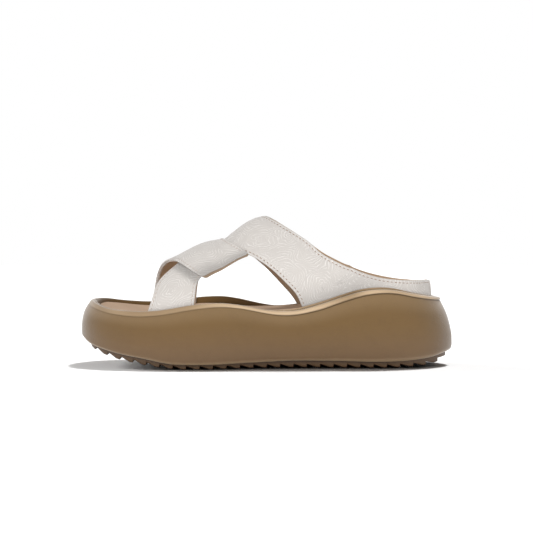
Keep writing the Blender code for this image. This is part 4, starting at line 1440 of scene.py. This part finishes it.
def make_foam(sole):
    """Moulded foam, with a leathery skin of fine folds and a glossier, painted highlight on its lip.

    A fold is a thin line where the wrinkle noise passes through its middle value.
    """
    finish = Finish("moulded_foam", Specular_IOR_Level=0.5, Sheen_Weight=0.5, Sheen_Roughness=0.4)
    place = finish.space()
    cloud = finish.noise(place, 35.0, 3.0)
    swayed = place * (0.6, 0.6, 1.0) + 3.0 * finish.noise(place, 7.0, output="Color")
    wrinkles = finish.noise(swayed, 2.2, 4.0, 0.62)
    off_middle = finish.maths("ABSOLUTE", wrinkles - 0.5)
    folds = 1.0 - finish.ease(off_middle, 0.0, 0.1)
    folds = folds * finish.ease(finish.noise(place, 9.0, 2.0), 0.4, 0.65)
    grain = finish.noise(place, 0.4, 2.0)
    pale, dark = finish.attribute("pale"), finish.attribute("dark")
    height = finish.node("ShaderNodeSeparateXYZ", {}, {"Vector": place}, output="Z")
    body = finish.mix(finish.ease(height, 6.0, 34.0), tuple(sole.foam_low), tuple(sole.foam))
    body = body * (0.97 + 0.06 * cloud) * (0.96 + 0.08 * wrinkles)
    body = body * (1.0 - 0.06 * folds)
    # Painted highlight on the lip, where the attribute pale is 1.
    colour = finish.mix(pale, body, tuple(sole.foam_lip_highlight))
    # Painted shade in the crease, the lip's groove and at the foot of the recess's wall.
    colour = finish.mix(0.8 * dark, colour, tinted(sole.foam, 0.2))
    roughness = 0.44 + 0.1 * wrinkles - 0.2 * pale + 0.25 * dark
    relief = (0.1 * wrinkles - 0.04 * folds + 0.012 * grain) * (1.0 - 0.8 * pale)
    return finish.done(colour, roughness, relief)


def make_rubber(sole):
    """Dull rubber, a little dusty in soft patches."""
    finish = Finish("tread_rubber", Specular_IOR_Level=0.5)
    place = finish.space()
    dust = finish.ease(finish.noise(place, 9.0, 5.0, 0.6), 0.42, 0.7)
    grain = finish.noise(place, 0.5, 3.0)
    colour = finish.mix(0.5 * dust, tuple(sole.rubber), tinted(sole.rubber, 1.35))
    return finish.done(colour, 0.45 + 0.15 * grain, 0.03 * grain)


def make_footbed(sole):
    """Brushed covering of the footbed, with a fine nap and soft cloudy marks."""
    finish = Finish("footbed_cover", Specular_IOR_Level=0.3)
    place = finish.space()
    cloud = finish.ease(finish.noise(place, 14.0, 4.0, 0.6), 0.35, 0.7)
    nap = finish.noise(place * (1.0, 0.45, 1.0), 0.6, 3.0, 0.65)
    colour = finish.mix(cloud, tinted(sole.footbed, 0.96), tinted(sole.footbed, 1.05))
    colour = finish.mix(0.6 * nap, colour, tinted(sole.footbed, 1.07))
    return finish.done(colour, 0.72 + 0.1 * nap, 0.05 * nap)


def make_leather(upper):
    """Pearly embossed leather: flowers of wavy contour lines about scattered centres.

    The distance from the nearest centre, swayed by noise and by a wave round the centre, is cut
    into even steps, and a thin line is drawn where each step begins.
    """
    finish = Finish("embossed_leather", Specular_IOR_Level=0.5, Coat_Roughness=0.35)
    place = finish.leather_place()
    sway = finish.noise(place, 13.0, 2.0, output="Color") - 0.5
    swayed = place + sway * 9.0
    cell = finish.cells(swayed, upper.flower, {"voronoi_dimensions": "2D"}, Randomness=0.8)
    spoke = swayed - cell.other("Position")
    parts = finish.node("ShaderNodeSeparateXYZ", {}, {"Vector": spoke})
    turn = finish.maths("ARCTAN2", parts.other("Y"), parts)
    reach = finish.node("ShaderNodeVectorMath", {"operation": "LENGTH"}, {0: spoke}, output="Value")
    petals = finish.maths("SINE", turn * 5.0 + reach * 0.45)
    petals = petals + 0.5 * finish.maths("SINE", turn * 3.0 - reach * 0.3)
    step = reach / upper.ring + 0.32 * petals
    wave = 2.0 * finish.maths("PINGPONG", step, 0.5)
    line = finish.ease(wave, 0.55, 0.95)
    patchy = finish.ease(finish.noise(place, 7.0, 2.0), 0.3, 0.62)
    line = line * patchy
    grain = finish.cells(place, 0.7, {"feature": "DISTANCE_TO_EDGE"}, Randomness=1.0)
    pores = finish.ease(grain, 0.0, 0.25)
    cloud = finish.noise(place, 22.0, 3.0)
    clouded = finish.ease(cloud, 0.35, 0.65)
    colour = finish.mix(clouded, tinted(upper.leather, 0.97), tuple(upper.leather))
    colour = finish.mix(line, colour, tuple(upper.leather_line))
    colour = finish.mix(0.3 * (1.0 - pores), colour, tinted(upper.leather, 0.85))
    colour = colour * (1.0 - LEATHER_SHADE * finish.attribute("shade"))
    roughness = 0.46 - 0.12 * line + 0.06 * cloud
    return finish.done(colour, roughness, 0.1 * line + 0.02 * pores)


def make_lining(upper):
    """Smooth tan lining leather with fine pores."""
    finish = Finish("strap_lining", Specular_IOR_Level=0.35)
    place = finish.leather_place()
    cloud = finish.ease(finish.noise(place, 11.0, 4.0, 0.6), 0.35, 0.7)
    pores = finish.ease(finish.cells(place, 0.9, {}, Randomness=1.0), 0.1, 0.45)
    colour = finish.mix(cloud, tinted(upper.lining, 0.9), tinted(upper.lining, 1.08))
    colour = colour * (1.0 - LINING_SHADE * finish.attribute("shade"))
    return finish.done(colour, 0.6 + 0.1 * cloud, 0.03 * pores)


def make_thread(name, thread):
    """Twisted thread, finely streaked along the fibres."""
    finish = Finish(name, Specular_IOR_Level=0.3)
    place = finish.space()
    fibres = finish.noise(place * (1.0, 1.0, 2.2), 0.28, 2.0)
    colour = finish.mix(fibres, tinted(thread, 0.8), tinted(thread, 1.2))
    return finish.done(colour, 0.65 + 0.1 * fibres, 0.04 * fibres)


def make_backdrop():
    """Matt white paper with a faint tooth."""
    finish = Finish("studio_paper", Specular_IOR_Level=0.1)
    tooth = finish.noise(finish.space(), 3.0, 2.0)
    colour = finish.mix(tooth, (0.93, 0.93, 0.93), (0.95, 0.95, 0.95))
    return finish.done(colour, 0.9 + 0.05 * tooth, 0.01 * tooth)


# ---- settings -------------------------------------------------------------------------------


def colour_setting(name, description, default):
    """A colour, as linear red, green and blue."""
    return FloatVectorProperty(
        name=name,
        description=description,
        default=default,
        size=3,
        min=0.0,
        max=1.0,
        subtype="COLOR",
    )


def length_setting(name, description, default):
    """A small length in millimetres."""
    return FloatProperty(
        name=name,
        description=description,
        default=default,
        min=0.05,
        soft_max=60.0,
        precision=2,
    )


class SoleSettings(bpy.types.PropertyGroup):
    """Colours of the platform, the outsole and the footbed."""

    foam: colour_setting("Foam", "Colour of the platform's side", (0.128, 0.072, 0.0225))
    foam_low: colour_setting("Foam below", "Colour of its side low down", (0.126, 0.073, 0.0325))
    # The lip's colour, far paler than the foam, is a painted highlight.
    foam_lip_highlight: colour_setting("Foam lip", "Colour of the platform's lip", (0.52, 0.38, 0.24))
    rubber: colour_setting("Rubber", "Colour of the outsole", (0.08, 0.047, 0.025))
    footbed: colour_setting("Footbed", "Colour of the footbed's covering", (0.47, 0.335, 0.235))


class UpperSettings(bpy.types.PropertyGroup):
    """Colours of the straps and the size of the embossed flowers."""

    leather: colour_setting("Leather", "Colour of the straps", (0.545, 0.513, 0.483))
    leather_line: colour_setting("Leather lines", "Colour of the embossed lines", (0.7, 0.67, 0.64))
    lining: colour_setting("Lining", "Colour of the straps' inside", (0.46, 0.33, 0.225))
    flower: length_setting("Flower size", "Distance between flowers, in millimetres", 25.0)
    ring: length_setting("Line spacing", "Distance between contour lines, in millimetres", 1.9)


class StitchingSettings(bpy.types.PropertyGroup):
    """Thread of the straps' seams."""

    # One thread: the collar's copy is darker than the bands', which is painted shade.
    colour: colour_setting("Thread", "Colour of the collar's thread", (0.25, 0.16, 0.11))
    pale: colour_setting("Pale thread", "Colour of the two bands' thread", (0.44, 0.37, 0.32))
    pitch: length_setting("Pitch", "Distance from stitch to stitch, in millimetres", 2.9)
    length: length_setting("Length", "Length of one stitch, in millimetres", 2.2)
    radius: length_setting("Thread radius", "Half of the thread's thickness, in millimetres", 0.24)


class StageSettings(bpy.types.PropertyGroup):
    """Light and camera of the studio."""

    room: FloatProperty(name="Room", description="Light from the white room", default=0.15, min=0.0)
    overhead: FloatProperty(name="Overhead", description="Light from above", default=1.66, min=0.0)
    floor: FloatProperty(name="Floor", description="Light on the floor alone", default=3.2, min=0.0)
    toe: FloatProperty(name="Toe side", description="Light from the toe", default=1.8, min=0.0)
    heel: FloatProperty(name="Heel side", description="Light from the heel", default=1.58, min=0.0)
    distance: FloatProperty(
        name="Camera distance",
        description="From the sandal's middle",
        default=1.15,
        min=0.3,
        unit="LENGTH",
    )
    height: FloatProperty(
        name="Camera height",
        description="Above the floor",
        default=0.0967,
        min=0.01,
        unit="LENGTH",
    )
    dip: FloatProperty(
        name="Camera dip",
        description="Below level",
        default=math.radians(1.358),
        subtype="ANGLE",
        unit="ROTATION",
    )
    lens: FloatProperty(name="Lens", description="Focal length in millimetres", default=109.7, min=10.0)


# ---- operators ------------------------------------------------------------------------------


def band_tables():
    """Table, corner radius and cuts of each strap. The collar's runs round from heel to heel."""
    collar = COLLAR_LATERAL[:1] + COLLAR_LATERAL[:0:-1] + COLLAR_MEDIAL[2:]
    return {
        "strap_lateral": (LATERAL_BAND, BAND_CORNER),
        "strap_medial": (MEDIAL_BAND, BAND_CORNER, NO_CUTS, (-END_REACH, END_CUT), SKIVE, True),
        "collar": (collar, COLLAR_CORNER, (-LINING_REACH, 0.0)),
    }


@functools.lru_cache(maxsize=None)
def strap(name):
    """The strap of a name, worked out once and kept."""
    return Strap(*band_tables()[name])


def strap_shade(name, form, flat):
    """Shade of a strap: under the band that crosses it, at its free end, or low on its sides."""
    if name == "strap_lateral":
        return shade_near(form, strap("strap_medial"))
    if name == "strap_medial":
        return shade_to_end(strap(name), flat)
    return shade_over_rim(form)


class SANDAL_OT_platform(bpy.types.Operator):
    """Make the moulded platform with its wavy lip"""

    bl_idname = "sandal.platform"
    bl_label = "Platform"

    def execute(self, context):
        form, maps = platform_form()
        material = make_foam(context.scene.sandal_sole)
        piece = form.finish("platform_foam", [material], maps)
        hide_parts("platform")
        return {"FINISHED"}


class SANDAL_OT_outsole(bpy.types.Operator):
    """Make the rubber outsole with its saw-tooth treads"""

    bl_idname = "sandal.outsole"
    bl_label = "Outsole"

    def execute(self, context):
        piece = outsole_form().finish("outsole_rubber", [make_rubber(context.scene.sandal_sole)])
        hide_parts("outsole")
        return {"FINISHED"}


class SANDAL_OT_footbed(bpy.types.Operator):
    """Make the cupped and covered footbed"""

    bl_idname = "sandal.footbed"
    bl_label = "Footbed"

    def execute(self, context):
        piece = footbed_form().finish("footbed", [make_footbed(context.scene.sandal_sole)])
        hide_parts("insole")
        return {"FINISHED"}


class SANDAL_OT_straps(bpy.types.Operator):
    """Make the two crossing straps and the collar, each of leather with a lining"""

    bl_idname = "sandal.straps"
    bl_label = "Straps"

    def execute(self, context):
        upper = context.scene.sandal_upper
        materials = [make_leather(upper), make_lining(upper)]
        for name in band_tables():
            form, flat = strap_form(name, strap(name))
            maps = {"UVMap": flat, "shade": strap_shade(name, form, flat)}
            piece = form.finish(name, materials, maps)
            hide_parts("upper")
        return {"FINISHED"}


class SANDAL_OT_heel_tab(bpy.types.Operator):
    """Make the strip over the collar's back seam"""

    bl_idname = "sandal.heel_tab"
    bl_label = "Heel tab"

    def execute(self, context):
        form, flat = heel_tab_form(strap("collar"))
        piece = form.finish("heel_tab", [bpy.data.materials["embossed_leather"]], {"UVMap": flat})
        return {"FINISHED"}


class SANDAL_OT_stitching(bpy.types.Operator):
    """Sew a row of stitches along the straps' edges"""

    bl_idname = "sandal.stitching"
    bl_label = "Stitching"

    def execute(self, context):
        stitching = context.scene.sandal_stitching
        # The collar's thread is a darker copy of the bands': painted shade.
        dark = make_thread("dark_thread", stitching.colour)
        pale = make_thread("pale_thread", stitching.pale)
        for name in band_tables():
            band = strap(name)
            _, ring = unit_sheet(int(band.length), int(band.widths.mean()))
            length, across = band.inset(*ring, STITCH_INSET)
            low, high = (band.point(length, across, STITCH_HEIGHT + k) for k in (0.0, 1.0))
            sewn = (band.skive == 0.0) | (band.length - length > FREE_END)
            form = stitches_form(low, high - low, sewn.astype(float), stitching)
            form.finish("stitches_" + name, [dark if name == "collar" else pale])
        return {"FINISHED"}


def make_room(strength):
    """A white room: full to the camera and in reflections, and of a set strength as light."""
    world = bpy.data.worlds.new("white_room")
    world.use_nodes = True
    tree = world.node_tree
    room = tree.nodes["Background"]
    room.inputs["Color"].default_value = (1.0, 1.0, 1.0, 1.0)
    path = tree.nodes.new("ShaderNodeLightPath")
    shown = tree.nodes.new("ShaderNodeMath")
    shown.operation = "MAXIMUM"
    tree.links.new(path.outputs["Is Camera Ray"], shown.inputs[0])
    tree.links.new(path.outputs["Is Glossy Ray"], shown.inputs[1])
    level = tree.nodes.new("ShaderNodeMapRange")
    level.inputs["To Min"].default_value = strength
    tree.links.new(shown.outputs[0], level.inputs["Value"])
    tree.links.new(level.outputs["Result"], room.inputs["Strength"])
    return world


def make_lamp(name, turns, spread, strength, floor, state):
    """A sun lamp that lights the floor alone or leaves it out, and shows in no reflection."""
    light = bpy.data.lights.new(name, "SUN")
    light.angle = math.radians(spread)
    light.energy = strength
    lamp = bpy.data.objects.new(name, light)
    lamp.rotation_euler = Euler([math.radians(each) for each in turns])
    lamp.visible_glossy = False
    bpy.context.scene.collection.objects.link(lamp)
    lit = bpy.data.collections.new(name)
    lit.objects.link(floor)
    lit.collection_objects[0].light_linking.link_state = state
    lamp.light_linking.receiver_collection = lit


class SANDAL_OT_stage(bpy.types.Operator):
    """Set up the white room, the floor, the lamps and the camera"""

    bl_idname = "sandal.stage"
    bl_label = "Stage"

    def execute(self, context):
        scene, stage = context.scene, context.scene.sandal_stage
        scene.view_settings.view_transform = "Standard"
        scene.world = make_room(stage.room)
        floor_mesh = bpy.data.meshes.new("floor")
        signs = ((-1, -1), (1, -1), (1, 1), (-1, 1))
        corners = [(x * FLOOR_REACH, y * FLOOR_REACH, 0.0) for x, y in signs]
        floor_mesh.from_pydata(corners, [], [(0, 1, 2, 3)])
        floor_mesh.materials.append(make_backdrop())
        floor = bpy.data.objects.new("floor", floor_mesh)
        scene.collection.objects.link(floor)
        for name, turns, spread, setting, state in LAMPS[1:]:
            make_lamp(name, turns, spread, getattr(stage, setting), floor, state)
        camera = bpy.data.cameras.new("camera")
        camera.lens = stage.lens
        view = bpy.data.objects.new("camera", camera)
        view.location = (0.0, -stage.distance, stage.height)
        view.rotation_euler = Euler((math.pi / 2.0 - stage.dip, 0.0, 0.0))
        scene.collection.objects.link(view)
        scene.camera = view
        return {"FINISHED"}


class SANDAL_PT_panel(bpy.types.Panel):
    """Lists the sandal's settings and the buttons that make its pieces"""

    bl_label = "Platform sandal"
    bl_idname = "SANDAL_PT_panel"
    bl_space_type = "VIEW_3D"
    bl_region_type = "UI"
    bl_category = "Sandal"

    def draw(self, context):
        for group, operators in SECTIONS.items():
            box = self.layout.box()
            settings = getattr(context.scene, group)
            for name in settings.bl_rna.properties.keys():
                if name not in ("rna_type", "name"):
                    box.prop(settings, name)
            for each in operators:
                box.operator(each.bl_idname)


SETTINGS = {
    "sandal_sole": SoleSettings,
    "sandal_upper": UpperSettings,
    "sandal_stitching": StitchingSettings,
    "sandal_stage": StageSettings,
}
SECTIONS = {
    "sandal_stage": (SANDAL_OT_stage,),
    "sandal_sole": (SANDAL_OT_platform, SANDAL_OT_outsole, SANDAL_OT_footbed),
    "sandal_upper": (SANDAL_OT_straps, SANDAL_OT_heel_tab),
    "sandal_stitching": (SANDAL_OT_stitching,),
}
OPERATORS = [each for group in SECTIONS.values() for each in group]


def register():
    """Registers the settings, the operators and the panel."""
    for each in (*SETTINGS.values(), *OPERATORS, SANDAL_PT_panel):
        bpy.utils.register_class(each)
    for name, group in SETTINGS.items():
        setattr(bpy.types.Scene, name, PointerProperty(type=group))


def unregister():
    """Takes them away again."""
    for name in SETTINGS:
        delattr(bpy.types.Scene, name)
    for each in (SANDAL_PT_panel, *reversed(OPERATORS), *SETTINGS.values()):
        bpy.utils.unregister_class(each)


def main():
    """Makes the stage and every piece."""
    register()
    bpy.ops.sandal.stage()
    bpy.ops.sandal.platform()
    bpy.ops.sandal.outsole()
    bpy.ops.sandal.footbed()
    bpy.ops.sandal.straps()
    bpy.ops.sandal.heel_tab()
    bpy.ops.sandal.stitching()


if __name__ == "__main__":
    main()
